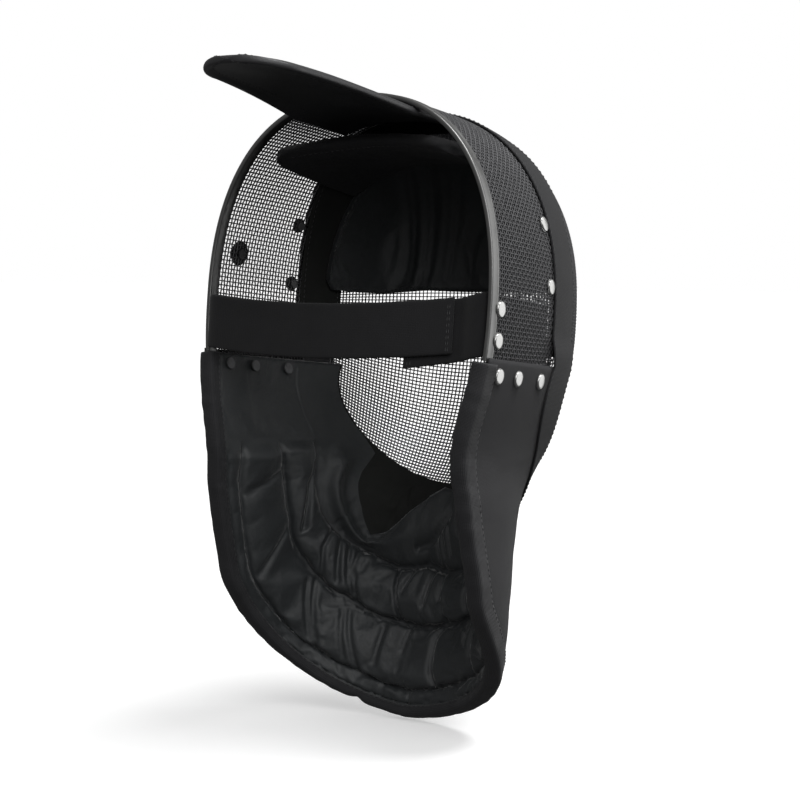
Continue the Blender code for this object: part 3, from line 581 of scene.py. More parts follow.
def tongueVinyl():
    paint = Paint("tongueVinyl", (0.03, 0.03, 0.032), 0.4, 0, **{"Coat Roughness": 0.35})
    place = paint.solidPlace()
    grain = paint.add("ShaderNodeTexVoronoi", {"feature": "F1"}, {"Vector": place, "Scale": 900.0})
    mottle = paint.noise(place, 40, 4)
    paint.feed("Base Color", paint.mix(mottle, (0.02, 0.02, 0.022), (0.042, 0.042, 0.044)))
    paint.feed("Roughness", 0.34 + mottle * 0.2)
    paint.bump(grain + mottle * 1.2, 0.35, 0.0003)
    return paint.material


def strapElastic():
    paint = Paint("strapElastic", (0.012, 0.012, 0.013), 0.8, 0,
                  **{"Sheen Weight": 0.12, "Sheen Roughness": 0.5, "Specular IOR Level": 0.3})
    place = paint.clothPlace()
    ribs = paint.wave(place, 0.314 / 0.0016, "X")
    picks = paint.wave(place, 0.314 / 0.0011, "Y")
    mottle = paint.noise(place, 80, 4)
    paint.feed("Base Color", paint.mix(mottle, (0.008, 0.008, 0.009), (0.017, 0.017, 0.0185)))
    paint.feed("Roughness", 0.72 + mottle * 0.2)
    paint.bump(ribs * 0.6 + picks * 0.5 + mottle, 0.3, 0.0002)
    return paint.material


def buttonPlastic():
    paint = Paint("buttonPlastic", (0.01, 0.01, 0.011), 0.38)
    grain = paint.noise(paint.solidPlace(), 600, 3)
    paint.feed("Roughness", 0.3 + grain * 0.2)
    paint.bump(grain, 0.15, 0.0002)
    return paint.material


def sewingThread():
    paint = Paint("sewingThread", (0.05, 0.05, 0.052), 0.55)
    twist = paint.wave(paint.solidPlace(), 900, "DIAGONAL")
    paint.feed("Base Color", paint.mix(twist, (0.035, 0.035, 0.037), (0.075, 0.075, 0.078)))
    paint.bump(twist, 0.4, 0.0001)
    return paint.material


def seat(piece, material, slotName, *nodes):
    piece.data.materials.clear()
    piece.data.materials.append(material)
    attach(piece, "root")
    if nodes:
        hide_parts(*nodes)
    return piece


wirePaint, rimPaint, rivetPaint = blackWire(), rimSteel(), rivetSteel()
trimPaint = wovenCloth("trimCloth", (0.013, 0.013, 0.0145), (0.027, 0.027, 0.029), 0.0009, (60, 4),
                       (0.6, 0.25), (0.6, 0.5, 0.0003), (0.06, 0.4, 0.3))
bibPaint = wovenCloth("bibCloth", (0.012, 0.012, 0.0135), (0.026, 0.026, 0.029), 0.0006, (35, 5),
                      (0.66, 0.2), (1.5, 0.45, 0.0004), (0.08, 0.45, 0.3))
# A matt, sheenless black cloth, darker than the satin: painted shade for the lining's cup and the inner cover band
shadedCupPaint = wovenCloth("shadedCupCloth", (0.013, 0.0135, 0.013), (0.028, 0.029, 0.027), 0.0007, (40, 4),
                      (0.8, 0.15), (1, 0.4, 0.0003), (0, 0.5, 0.25))
satinPaint, bindingPaint = liningSatin(), edgeBinding()
vinylPaint, elasticPaint, plasticPaint = tongueVinyl(), strapElastic(), buttonPlastic()
threadPaint, shadedTailPaint = sewingThread(), shadedTailSteel()
print("materials made")


# Rim: a folded steel channel with a rolled edge along its outer leg

rim = {"leg": 8.5, "sheet": 0.6, "half": 1.1, "fold": 1.5, "lowAngle": -10.5, "bead": 0.35, "beadLength": 1.6}


def buildRim():
    full = rim["half"] + rim["sheet"]
    fold = np.linspace(0, math.pi, 11)
    outer = [(full * math.copysign(abs(math.cos(t)) ** 0.7, math.cos(t)),
              -rim["fold"] + rim["fold"] * math.sin(t) ** 0.7) for t in fold]
    beadTop = full + rim["bead"]
    outline = [(rim["half"], -rim["leg"] + 0.2), (rim["half"] + 0.3, -rim["leg"]), (beadTop - 0.2, -rim["leg"]),
               (beadTop, -rim["leg"] + 0.4), (beadTop, -rim["leg"] + rim["beadLength"]),
               (full, -rim["leg"] + rim["beadLength"] + 0.5), *outer, (-full, -rim["leg"] + 0.2),
               (-full + 0.2, -rim["leg"]), (-rim["half"], -rim["leg"]), (-rim["half"], -1.4),
               (-rim["half"] * 0.6, -rim["sheet"] - 0.1), (rim["half"] * 0.6, -rim["sheet"] - 0.1),
               (rim["half"], -1.4)]
    out, y = np.array(outline).T
    low = math.radians(rim["lowAngle"])
    angle = archStations(low, 90)
    normal = unit(onCage(angle, -rim["leg"], 1) - onCage(angle, -rim["leg"], 0))
    points = cagePoint(angle[:, None], y[None, :]) + normal[:, None] * out[None, :, None]
    count, ring = points.shape[:2]
    index = np.arange(count * ring).reshape(count, ring)
    closed = np.concatenate([index, index[:, :1]], 1)
    faces = gridFaces(closed).tolist() + [index[0].tolist(), index[-1][::-1].tolist()]
    made = makeObject("rimFrame", points.reshape(-1, 3), faces)
    cleanMesh(made)
    made.data.set_sharp_from_angle(angle=math.radians(50))
    return seat(made, rimPaint, "rim_steel", "rim_frame")


def archStations(lowAngle, count):
    # Angles from the left low end over the crown to the right, evenly spaced along the arch
    fine = np.linspace(lowAngle, math.pi - lowAngle, 4001)
    run = runAlong(cagePoint(fine, -40.0))
    return np.interp(np.linspace(0, run[-1], 2 * count + 1), run, fine)


buildRim()
print("rim made")


# Wire mesh: woven wires that pass over and under at each crossing

wires = {"pitch": 2.95, "radius": 0.56, "weave": 0.42, "underBand": 7, "lowAngle": -15, "rearInset": 1.0}


def wovenWires(name, points, normals, keep):
    rows, columns = keep.shape
    sign = np.where(np.add.outer(np.arange(rows), np.arange(columns)) % 2, 1.0, -1.0)[..., None]
    over = points + normals * sign * wires["weave"]
    under = points - normals * sign * wires["weave"]
    paths, ups = [], []
    crossed = (under.transpose(1, 0, 2), keep.T, normals.transpose(1, 0, 2))
    for grid, marks, normal in ((over, keep, normals), crossed):
        for line, mark, up in zip(grid, marks, normal):
            edges = np.flatnonzero(np.diff(np.concatenate([[0], mark.astype(int), [0]])))
            for start, end in zip(edges[::2], edges[1::2]):
                if end - start > 2:
                    paths.append(line[start:end])
                    ups.append(up[start:end])
    return seat(tubePaths(name, paths, ups, wires["radius"]), wirePaint, "mesh_wire",
                "rear_mesh" if name == "rearWires" else "face_mesh")


def buildRearWires():
    low = math.radians(wires["lowAngle"])
    fine = np.linspace(low, math.pi - low, 6000)
    run = runAlong(cagePoint(fine, -40.0))
    angle = np.interp(np.arange(wires["pitch"] / 2, run[-1], wires["pitch"]), run, fine)
    deepest = band["setbackSide"] + wires["underBand"]
    y = -np.arange(wires["rearInset"], deepest, wires["pitch"])
    a, d = np.meshgrid(angle, y, indexing="ij")
    points = onCage(a, d, 0.0)
    normals = onCage(a, d, 1.0) - points
    keep = d > bandRear(a) - wires["underBand"]
    return wovenWires("rearWires", points, normals, keep)


def rayHits(tanX, tanZ):
    # Where rays from the rim's middle at eye level meet the cage; both slopes against -Y
    near, far = np.zeros(tanX.shape), np.full(tanX.shape, float(mask["nose"]))
    for _ in range(32):
        middle = (near + far) / 2
        inside = cageHalf(-middle, mask["eyeLine"] + tanZ * middle) > np.abs(tanX) * middle
        near, far = np.where(inside, middle, near), np.where(inside, far, middle)
    return np.stack([tanX * near, -near, mask["eyeLine"] + tanZ * near], -1)


def evenSlopes(limit, vertical):
    fine = np.tan(np.linspace(0, limit, 1500))
    flat = np.zeros_like(fine)
    line = rayHits(flat, fine) if vertical else rayHits(fine, flat)
    run = runAlong(line)
    return np.interp(np.arange(wires["pitch"] / 2, run[-1], wires["pitch"]), run, fine)


def buildFaceWires():
    side = evenSlopes(math.radians(52), False)
    up, down = evenSlopes(math.radians(60), True), -evenSlopes(-math.radians(62), True)
    slopesX = np.concatenate([-side[::-1], side])
    slopesZ = np.concatenate([-np.abs(down[::-1]), up])
    tanX, tanZ = np.meshgrid(slopesX, slopesZ, indexing="ij")
    points = rayHits(tanX, tanZ)
    x, y, z = np.moveaxis(points, -1, 0)
    angle = angleAt(y, z)
    normals = unit(np.cross(np.gradient(points, axis=0), np.gradient(points, axis=1)))
    middle = points - np.array([0, -mask["nose"] * 0.3, mask["eyeLine"]])
    normals *= np.sign(np.sum(normals * middle, -1, keepdims=True))
    above = y < bandRear(angle) - band["width"] + wires["underBand"]
    inWindow = (x / sillHalf) ** 2 + ((bib["top"] - z) / bib["sillDrop"]) ** 2 < 1.1
    keep = np.where(z < bib["top"], inWindow & (y < -60), above)
    return wovenWires("faceWires", points, normals, keep)


buildRearWires()
buildFaceWires()
print("wire mesh made")


# Cover bands over the seam of the two meshes

bandLook = {"edgeRadius": 0.75, "ripple": 0.12, "outerSteps": 150, "acrossSteps": 12, "stitchInset": 3.0}


def bandDepth(angle, across):
    return bandRear(angle) - band["width"] * across


def buildInnerBand():
    angle = archStations(math.radians(band["lowAngle"]), bandLook["outerSteps"] // 2)
    across = edgeSteps(bandLook["acrossSteps"], band["width"], bandLook["edgeRadius"])
    thick = thicknessAt(across, band["width"], bandLook["edgeRadius"]) * band["cloth"] / 2
    middle = -(0.8 + mask["gap"] + band["cloth"] / 2)
    a, s = np.meshgrid(angle, across, indexing="ij")
    ripple = bandLook["ripple"] * noise2(a * 120, s * band["width"], 5, 6, 9)
    outer = onCage(a, bandDepth(a, s), middle + thick + ripple)
    inner = onCage(a, bandDepth(a, s), middle - thick + ripple)
    for inset in (bandLook["stitchInset"], band["width"] - bandLook["stitchInset"]):
        row = np.array(inset / band["width"])
        depth = bandDepth(angle, row)
        line = onCage(angle, depth, middle - band["cloth"] / 2)
        stitchAlong(line, onCage(angle, depth, middle - 1) - onCage(angle, depth, middle))
    # The inner band takes the matt cup cloth to stay dark: painted shade, as it lies in shadow inside the mask
    return seat(skinBody("coverBandInner", outer, inner), shadedCupPaint, "black_cloth", "cover_band_inner")


def outerBandRows(share, distanceOffset):
    # Rows of the outer band: around the chin over the bib, then up the side and over the crown
    onMesh = 0.8 + mask["gap"] + band["cloth"] / 2
    onBib = bib["standOff"] + bib["cloth"] / 2 + mask["gap"] + band["cloth"] / 2
    chin = np.linspace(1, 0, 70)
    steps = np.linspace(0, 1, 81)
    parts = np.linalg.norm(np.diff(bibGrid(chin[:, None], steps[None, :], onBib), axis=1), axis=-1)
    fromWindow = np.concatenate([np.zeros((len(chin), 1)), np.cumsum(parts[:, ::-1], axis=1)], 1)
    places = np.array([np.interp(band["width"] * (1 - share), far, steps[::-1]) for far in fromWindow])
    lower = bibGrid(chin[:, None], places, onBib + distanceOffset[None, :], bib["lap"])
    low = math.radians(band["lowAngle"])
    angle = archStations(low, 70)[:71]
    down = 1 - ease(angle, low, low / 3)
    a, s = np.meshgrid(angle, share, indexing="ij")
    upper = onCage(a, bandDepth(a, s), onMesh + (onBib - onMesh) * down[:, None] + distanceOffset[None, :])
    left = np.concatenate([lower, upper])
    right = left[::-1] * np.array([-1, 1, 1])
    left[-1, :, 0] = 0
    return np.concatenate([left, right[1:]])


def buildOuterBand():
    across = edgeSteps(bandLook["acrossSteps"], band["width"], bandLook["edgeRadius"])
    thick = thicknessAt(across, band["width"], bandLook["edgeRadius"]) * band["cloth"] / 2
    outer, inner = outerBandRows(across, thick), outerBandRows(across, -thick)
    outer[0, :, 0] = inner[0, :, 0] = 0
    for row in (4, -5):
        stitchAlong(outer[:, row].copy(), outer[:, row] - inner[:, row])
    made = skinBody("coverBandOuter", outer, inner)
    return seat(made, trimPaint, "black_cloth", "cover_band_outer")


buildInnerBand()
buildOuterBand()
print("cover bands made")


# Bib: outer shell, quilted lining and the tape along its edge

shellLook = {"along": 260, "acrossSteps": 60, "fold": 1.0, "creases": 0.45, "edgeRadius": 0.8}
liningLook = {
    "along": 340, "acrossSteps": 104, "puffs": (2.6, 7.0, 7.5, 13.0), "groove": 2.4, "grooveHalf": 2.0,
    "slack": 0.05,
    "frames": 15, "cap": 3.6, "bending": 0.9, "quiltStart": 0.2,
    # grid columns of the tape's edge, three seams and the folded edge, and where they run
    # across the lining at shares of the way from the side to the chin
    "columns": (0, 0.05, 0.11, 0.39, 0.60, 0.80, 1),
    "seamShares": (0.2, 0.34, 0.48, 0.63, 0.75, 0.88, 1.0),
    "tapeEdge": (0.03, 0.03, 0.03, 0.03, 0.03, 0.03, 0.03),
    "hemSeam": (0.105, 0.1, 0.095, 0.105, 0.098, 0.1, 0.087),
    "middleSeam": (0.34, 0.41, 0.415, 0.396, 0.372, 0.369, 0.376),
    "upperSeam": (0.6, 0.6, 0.6, 0.6, 0.6, 0.596, 0.645),
    "foldPlaces": (0.2, 0.36, 0.45, 0.5, 0.63, 0.735, 0.79, 0.87, 0.95,
                   1.04, 1.15, 1.22, 1.29, 1.4, 1.55, 1.7, 1.8),
    "foldedEdge": (0.985, 0.96, 0.85, 0.815, 0.755, 0.68, 0.74, 0.83, 0.9,
                   0.94, 0.92, 0.8, 0.7, 0.76, 0.85, 0.96, 0.985),
    "ridge": 7.0, "upperWrinkles": 0.35, "depthRange": (-1.8, 15), "noiseRuns": (260, 130),
    # creases: places from the left top (0) over the chin (1) to the right top (2), depth, half width
    "creases": (
        (((0.304, 0.597), (0.36, 0.565), (0.446, 0.525), (0.536, 0.474)), 4.0, 3.0),
        (((0.677, 0.336), (0.754, 0.132)), 2.6, 2.2), (((0.693, 0.363), (0.775, 0.111)), 3.0, 2.0),
        (((0.786, 0.315), (0.834, 0.138)), 2.4, 1.9), (((0.8, 0.333), (0.872, 0.105)), 3.0, 2.0),
        (((0.651, 0.627), (0.69, 0.53), (0.737, 0.423)), 3.4, 2.2), (((0.703, 0.591), (0.775, 0.4)), 3.4, 2.0),
        (((0.735, 0.62), (0.75, 0.5), (0.8, 0.39)), 2.6, 1.8), (((0.61, 0.64), (0.64, 0.5), (0.7, 0.4)), 2.4, 2.4),
        (((0.885, 0.597), (0.9, 0.507), (0.933, 0.384)), 3.6, 1.9), (((0.945, 0.612), (0.924, 0.507)), 2.6, 2.2),
        (((1.039, 0.62), (1.031, 0.471)), 2.4, 2.6), (((1.08, 0.63), (1.093, 0.49)), 2.2, 2.2),
        (((1.116, 0.393), (1.085, 0.324), (1.079, 0.174), (1.086, 0.12)), 3.4, 2.0),
        (((0.895, 0.33), (0.9, 0.174)), 3.0, 2.2), (((0.97, 0.36), (0.96, 0.26)), 1.8, 2.4),
        (((1.015, 0.08), (1.01, 0.021)), 1.6, 2.0), (((0.93, 0.085), (0.925, 0.03)), 1.4, 2.0),
        (((0.944, 0.705), (1.027, 0.738), (1.114, 0.822)), 5.0, 2.6),
        (((1.05, 0.73), (1.06, 0.66)), 2.2, 1.5), (((1.085, 0.75), (1.09, 0.67)), 2.2, 1.5),
        (((1.12, 0.77), (1.12, 0.68)), 2.2, 1.5), (((1.3, 0.58), (1.25, 0.42)), 3.0, 2.4),
        (((1.22, 0.6), (1.2, 0.42)), 2.6, 2.2), (((1.42, 0.56), (1.36, 0.42)), 3.0, 3.0),
        (((1.24, 0.36), (1.2, 0.12)), 3.0, 2.2), (((1.38, 0.36), (1.34, 0.12)), 2.8, 2.6),
        (((0.5, 0.38), (0.56, 0.14)), 1.8, 4.0), (((0.3, 0.36), (0.34, 0.14)), 1.6, 5.0),
    ),
}
tapeLook = {
    "thick": 3.4, "gap": 0.8, "stations": 520, "wrapInside": 3.2, "wrapOutside": 9.5, "cloth": 0.9,
    "pucker": 0.35, "puckerPitch": 6,
    "notch": (0.879, 2.4, 0.011),  # place along the bib, depth, width
}


def buildShell():
    u = np.linspace(0, 2, shellLook["along"])
    width = bib["acrossRun"]
    across = edgeSteps(shellLook["acrossSteps"], width, shellLook["edgeRadius"])
    a, s = np.meshgrid(u, across, indexing="ij")
    border = np.minimum(1, np.minimum(s, 1 - s) * width / shellLook["edgeRadius"])
    ends = np.minimum(1, np.minimum(a, 2 - a) * 500 / shellLook["edgeRadius"])
    rounded = quarterRound(np.minimum(border, ends))
    thick = rounded * bib["cloth"] / 2
    along, over = a * bib["alongRun"], s * width
    folds = shellLook["fold"] * noise2(along, over, 11, 32, 60) * ease(s, 0.05, 0.3) * (1 - ease(s, 0.55, 0.72))
    creases = shellLook["creases"] * noise2(along, over, 12, 7, 22) * ease(s, 0.02, 0.1) * (1 - ease(s, 0.6, 0.72))
    quiet = ease(np.minimum(a, 2 - a), 0.12, 0.3)
    lift = (np.maximum(folds, -0.2) + creases * 0.5) * quiet
    outer = bibGrid(a, s, bib["standOff"] + thick + np.maximum(lift * ease(s, 0.05, 0.12), -0.3), bib["lap"])
    inner = bibGrid(a, s, bib["standOff"] - thick, bib["lap"])
    middle = bibGrid(a, s, bib["standOff"], bib["lap"]) / 1000
    made = seat(skinBody("bibShell", outer, inner), bibPaint, "bib_fabric", "bib_shell")
    return made


def seamPlaces(u):
    # Where the tape's edge, the three seams and the folded edge run across the lining
    share = np.minimum(u, 2 - u)
    names = ("tapeEdge", "hemSeam", "middleSeam", "upperSeam")
    lines = [np.interp(share, liningLook["seamShares"], liningLook[name]) for name in names]
    return [*lines, np.interp(u, liningLook["foldPlaces"], liningLook["foldedEdge"])]


def followSeams(u, column):
    # Bends the grid's columns so that each sewn line has one of its own
    stops = [np.zeros_like(u), *seamPlaces(u), np.ones_like(u)]
    across = np.zeros(np.broadcast(u, column).shape)
    for low, high, start, end in zip(liningLook["columns"][:-1], liningLook["columns"][1:], stops[:-1], stops[1:]):
        t = (column - low) / (high - low)
        across = np.where((t >= 0) & (t <= 1), start + (end - start) * t, across)
    return across


def creaseRelief(u, across):
    # How far the drawn creases press the padding back, in millimetres
    relief = np.zeros(u.shape)
    for line, depth, halfWidth in liningLook["creases"]:
        best = np.full(u.shape, 1e9)
        for (u0, s0), (u1, s1) in zip(line[:-1], line[1:]):
            ax, ay = (u - u0) * bib["alongRun"], (across - s0) * bib["acrossRun"]
            bx, by = (u1 - u0) * bib["alongRun"], (s1 - s0) * bib["acrossRun"]
            t = np.clip((ax * bx + ay * by) / (bx * bx + by * by), 0, 1)
            best = np.minimum(best, (ax - t * bx) ** 2 + (ay - t * by) ** 2)
        relief += depth * np.exp(-best / halfWidth**2)
    return relief


def quiltRelief(u, column):
    # Height of the padding over the flat lining, and where the lining is quilted at all
    share = np.minimum(u, 2 - u)
    stops = liningLook["columns"][1:6]
    height, near = np.zeros(u.shape), np.full(u.shape, 9.0)
    for low, high, puff in zip(stops[:-1], stops[1:], liningLook["puffs"]):
        t = np.clip((column - low) / (high - low), 0, 1)
        height = np.where((column >= low) & (column <= high), puff * np.sin(math.pi * t) ** 0.5, height)
    # At the side the upper puff is one sharp fold, over the chin a full roll with a free edge
    low, high = stops[3], stops[4]
    t = np.clip((column - low) / (high - low), 0, 1)
    rolled = ease(share, 0.7, 0.86)
    roll = liningLook["puffs"][3] * np.minimum(1, t / 0.5) ** 0.7 * (1 - ease(t, 0.92, 1.0))
    fold = liningLook["ridge"] * np.exp(-(((t - 0.42) / 0.17) ** 2)) * ease(share, 0.22, 0.4)
    height = np.where((column > low) & (column < high), fold + (roll - fold) * rolled, height)
    quilted = ease(share, liningLook["quiltStart"], liningLook["quiltStart"] + 0.05)
    for line in stops[1:4]:
        near = np.minimum(near, np.abs(column - line) * bib["acrossRun"] / liningLook["grooveHalf"])
    return height * quilted - liningLook["groove"] * np.exp(-near**2 * 1.2) * quilted, quilted


def settleCloth(name, points, pinned, slack, frames, bending=0.4):
    # Lets a sheet that is a little larger than its seams buckle into real wrinkles
    rows, columns = pinned.shape
    index = np.arange(rows * columns).reshape(rows, columns)
    sheet = makeObject(name, points.reshape(-1, 3), gridFaces(index).tolist())
    group = sheet.vertex_groups.new(name="pins")
    group.add([int(i) for i in np.flatnonzero(pinned.ravel())], 1.0, "REPLACE")
    cloth = sheet.modifiers.new("Cloth", "CLOTH")
    cloth.settings.vertex_group_mass = "pins"
    cloth.settings.quality = 6
    cloth.settings.mass = 0.2
    cloth.settings.tension_stiffness = cloth.settings.compression_stiffness = 12
    cloth.settings.shear_stiffness = 4
    cloth.settings.bending_stiffness = bending
    cloth.settings.air_damping = 2
    cloth.settings.shrink_min = -slack
    cloth.settings.effector_weights.gravity = 0
    cloth.point_cache.frame_start = 1
    cloth.point_cache.frame_end = frames
    scene = bpy.context.scene
    for number in range(1, frames + 1):
        scene.frame_set(number)
    shown = sheet.evaluated_get(bpy.context.evaluated_depsgraph_get())
    settled = np.empty(rows * columns * 3)
    shown.data.vertices.foreach_get("co", settled)
    bpy.data.objects.remove(sheet, do_unlink=True)
    scene.frame_set(1)
    moved = settled.reshape(rows, columns, 3) - toRow(points)
    turn = math.radians(-mask["nod"])
    y = moved[..., 1] * math.cos(turn) - moved[..., 2] * math.sin(turn)
    z = moved[..., 1] * math.sin(turn) + moved[..., 2] * math.cos(turn)
    return np.stack([moved[..., 0], y, z], -1) * 1000


def buildLining():
    u = np.linspace(0, 2, liningLook["along"])
    stops = np.array(liningLook["columns"][1:6])
    beside = 0.009
    column = np.concatenate([edgeSteps(liningLook["acrossSteps"], bib["acrossRun"], 1.2), stops,
                             stops[1:] - beside, stops[1:4] + beside])
    column = np.unique(np.round(column, 5))
    a, q = np.meshgrid(u, column, indexing="ij")
    s = followSeams(a, q)
    share = np.minimum(a, 2 - a)
    height, quilted = quiltRelief(a, q)
    pressed = creaseRelief(a, s) * quilted
    along, over = a * liningLook["noiseRuns"][0], s * liningLook["noiseRuns"][1]
    soft = 0.35 * noise2(along, over, 21, 12, 40) * quilted + 0.5 * noise2(along, over, 22, 30, 26)
    lift = np.maximum(height - pressed * np.minimum(1, 0.35 + height / 6), -0.8) + soft * (q < stops[4])
    border = np.minimum(1, np.minimum(s, 1 - s) * bib["acrossRun"] / 4)
    face = -bib["standIn"] - bib["pad"] / 2
    flat = bibGrid(a, s, face)
    inward = unit(bibGrid(a, s, face - 1) - flat)
    points = flat + inward * (lift * border)[..., None]
    # The roll over the chin leans towards the face opening
    lean = ease(lift, 4, 12) * ease(share, 0.72, 0.9) * ease(q, 0.66, 0.79)
    points += (bibGrid(a, s + 0.01, face) - flat) * (lean * 3.0)[..., None]
    crossSeam = np.abs(share - liningLook["quiltStart"]) < 1.2 * (u[1] - u[0])
    onSeam = np.min([np.abs(q - stop) for stop in stops[1:]], axis=0) < 0.002
    pinned = (onSeam & (share > liningLook["quiltStart"])) | crossSeam | (q < 0.05) | (s > 0.96) | (share < 0.006)
    moved = settleCloth("liningSheet", points, pinned, liningLook["slack"], liningLook["frames"],
                        liningLook["bending"])
    reach = np.linalg.norm(moved, axis=-1, keepdims=True)
    calm = liningLook["upperWrinkles"] + (1 - liningLook["upperWrinkles"]) * ease(share, 0.5, 0.78)
    calm *= 1 - 0.55 * ((q > stops[3]) & (q < stops[4]))
    points = points + moved * np.minimum(1, liningLook["cap"] / np.maximum(reach, 1e-6)) * calm[..., None]
    # Nothing pokes through the padding's back or stands too far into the mask
    depth = np.sum((points - flat) * inward, -1, keepdims=True)
    points += inward * (np.clip(depth, *liningLook["depthRange"]) - depth)
    outer = bibGrid(a, s, -bib["standIn"] + bib["pad"] / 2)
    sewn = np.minimum(u, 2 - u) > liningLook["quiltStart"]
    for stop in stops[1:4]:
        at = int(np.argmin(np.abs(column - stop)))
        stitchAlong((points[:, at] + inward[:, at] * 0.1)[sewn], inward[sewn, at])
    made = skinBody("bibLining", outer, points, q > stops[4] - 0.001)
    seat(made, satinPaint, "lining_satin", "bib_lining")
    # The cup in front of the chin gets a darker, matt cloth: painted shade, as it lies in shadow beyond the roll
    made.data.materials.append(shadedCupPaint)
    layer = np.zeros(len(made.data.vertices), bool)
    made.data.attributes["cup"].data.foreach_get("value", layer)
    inCup = np.array([all(layer[i] for i in face.vertices) for face in made.data.polygons])
    made.data.polygons.foreach_set("material_index", inCup.astype(np.int32))
    made.data.attributes.remove(made.data.attributes["cup"])
    return made


def buildTape():
    # A binding folded round the bib's edge: on the lining, round the edge, and on the shell
    u = np.linspace(0, 2, tapeLook["stations"])
    inner = -(bib["standIn"] + bib["pad"] / 2 + tapeLook["cloth"] * 0.6)
    outer = bib["standOff"] + bib["cloth"] / 2 + tapeLook["cloth"] * 0.6
    middle, half = (inner + outer) / 2, (outer - inner) / 2
    base = bibGrid(u, 0, middle)
    up = unit(bibGrid(u, 0, middle + 1) - base)
    run = unit(np.gradient(base, axis=0))
    away = unit(np.cross(up, run))
    away *= np.sign(np.sum(away * (base - bibGrid(u, 0.05, middle)), -1, keepdims=True))
    place, depth, width = tapeLook["notch"]
    away *= (1 - depth / 4.2 * np.exp(-((u - place) / width) ** 2))[:, None]
    reach = np.linalg.norm(bibGrid(u, 0.1, middle) - base, axis=-1) / 0.1
    inside = bibGrid(u[:, None], (tapeLook["wrapInside"] / reach)[:, None] * np.linspace(1, 0.03, 8), inner)
    outside = bibGrid(u[:, None], (tapeLook["wrapOutside"] / reach)[:, None] * np.linspace(0.02, 1, 8), outer)
    psi = np.linspace(-math.pi / 2, math.pi / 2, 13)
    out = tapeLook["gap"] * np.minimum(1, np.cos(psi) * 2) + tapeLook["thick"] * np.cos(psi) ** 0.7
    rise = (half * signedPower(np.sin(psi), 0.8))[:, None]
    turn = base[:, None] + up[:, None] * rise + away[:, None] * out[:, None]
    middleSkin = np.concatenate([inside, turn, outside], 1)
    length = runAlong(base)
    normal = unit(np.cross(np.gradient(middleSkin, axis=0), np.gradient(middleSkin, axis=1)))
    normal *= np.sign(np.sum(normal[:, 14] * away, -1))[:, None, None]
    column = np.arange(middleSkin.shape[1])
    along = np.broadcast_to(length[:, None], normal.shape[:2])
    pucker = tapeLook["pucker"] * noise2(along, column * 1.0, 31, tapeLook["puckerPitch"], 9)
    border = np.minimum(1, np.minimum(column, column[-1] - column) / 1.5)
    half = tapeLook["cloth"] / 2 * quarterRound(border)
    top = middleSkin + normal * (half + np.maximum(pucker, -0.2) * border)[..., None]
    bottom = middleSkin - normal * half[None, :, None]
    for row in (2, -2):
        stitchAlong(top[:, row].copy(), normal[:, row])
    return seat(skinBody("hemTape", top, bottom), bindingPaint, "black_cloth", "hem_tape")


buildShell()
buildLining()
buildTape()
print("bib made")


# Tongue: a leaf spring in a padded cover, under the crown and out of the back

tongue = {
    "root": 62, "reach": 138.5, "rootHalf": 50, "tipHalf": 36, "tipRound": 34, "thick": 5, "gap": 1.1,
    "droop": -4, "bow": 3, "edge": 2.5, "along": 90, "acrossSteps": 26, "welt": 0.45, "bluntness": 2,
}


def archHeight(x, y):
    wide, high, _ = depthShares(y)
    share = np.clip(np.abs(x) / ((mask["halfWidth"] + mask["taper"] * np.minimum(y, 0)) * wide), 0, 1)
    return mask["eyeLine"] + mask["crown"] * high * (1 - share ** mask["crownRound"]) ** (1 / mask["crownRound"])


def tongueHalf(y):
    straight = tongue["reach"] - tongue["tipRound"]
    share = np.clip(y / straight, 0, 1)
    width = tongue["rootHalf"] + (tongue["tipHalf"] - tongue["rootHalf"]) * share
    over = np.clip((y - straight) / tongue["tipRound"], 0, 1)
    return width * np.maximum(0, 1 - over ** tongue["bluntness"]) ** (1 / tongue["bluntness"])


def buildTongue():
    straight = tongue["reach"] - tongue["tipRound"]
    tip = straight + tongue["tipRound"] * np.sin(np.linspace(0, math.radians(86), 26))
    start = -tongue["root"] + np.array([0, 0.5, 1.4])
    y = np.concatenate([start, np.linspace(-tongue["root"] + 2.5, straight, tongue["along"])[:-1], tip])
    across = edgeSteps(tongue["acrossSteps"], 80, tongue["edge"]) * 2 - 1
    d, s = np.meshgrid(y, across, indexing="ij")
    half = tongueHalf(d)
    x = s * half
    out = np.maximum(0, d) / tongue["reach"]
    rise = tongue["bow"] * 4 * out * (1 - out) - tongue["droop"] * out**2
    under = 0.8 + mask["gap"] + rim["sheet"] + tongue["gap"] + tongue["thick"] / 2
    z = archHeight(x, np.minimum(d, 0)) - under + rise
    side = (1 - np.abs(s)) * half
    near = np.clip(np.minimum(np.minimum(side, (d + tongue["root"]) * 1.0), (y.max() - d)) / tongue["edge"], 0, 1)
    thick = quarterRound(near) * tongue["thick"] / 2
    # A sewn border stands a little proud of the panel inside it
    welt = tongue["welt"] * (np.exp(-((side - 5) / 1.2) ** 2) - np.exp(-((side - 8) / 0.8) ** 2)) * (near >= 1)
    soft = 0.25 * noise2(x, d, 41, 18, 26) * (near >= 1)
    top = np.stack([x, d, z + thick + welt + soft], -1)
    bottom = np.stack([x, d, z - thick - welt - soft], -1)
    for skin, way in ((top, 1), (bottom, -1)):
        # One row of stitches round the free border
        free = d[:, 0] > 4
        leftRow, rightRow = skin[free, 7], skin[free, -8]
        line = np.concatenate([leftRow, rightRow[::-1]])
        stitchAlong(line, np.tile([0, 0, way * 1.0], (len(line), 1)))
    return seat(skinBody("tongue", top, bottom), vinylPaint, "tongue_vinyl", "tongue")


buildTongue()
print("tongue made")


# Crown pad, leaf-shaped, with its rear border rolled

pad = {
    "thick": 8, "edgeThick": 3, "height": 149, "endHeight": 138, "endFall": 0.12, "tipSetback": 2,
    "bow": 26, "front": 118, "wallGap": 3.4, "puff": 1.2, "along": 70, "acrossSteps": 100,
    "leafEnd": 11, "leafLength": 0.26, "cornerBack": 13, "rearRoll": 2.6,
}


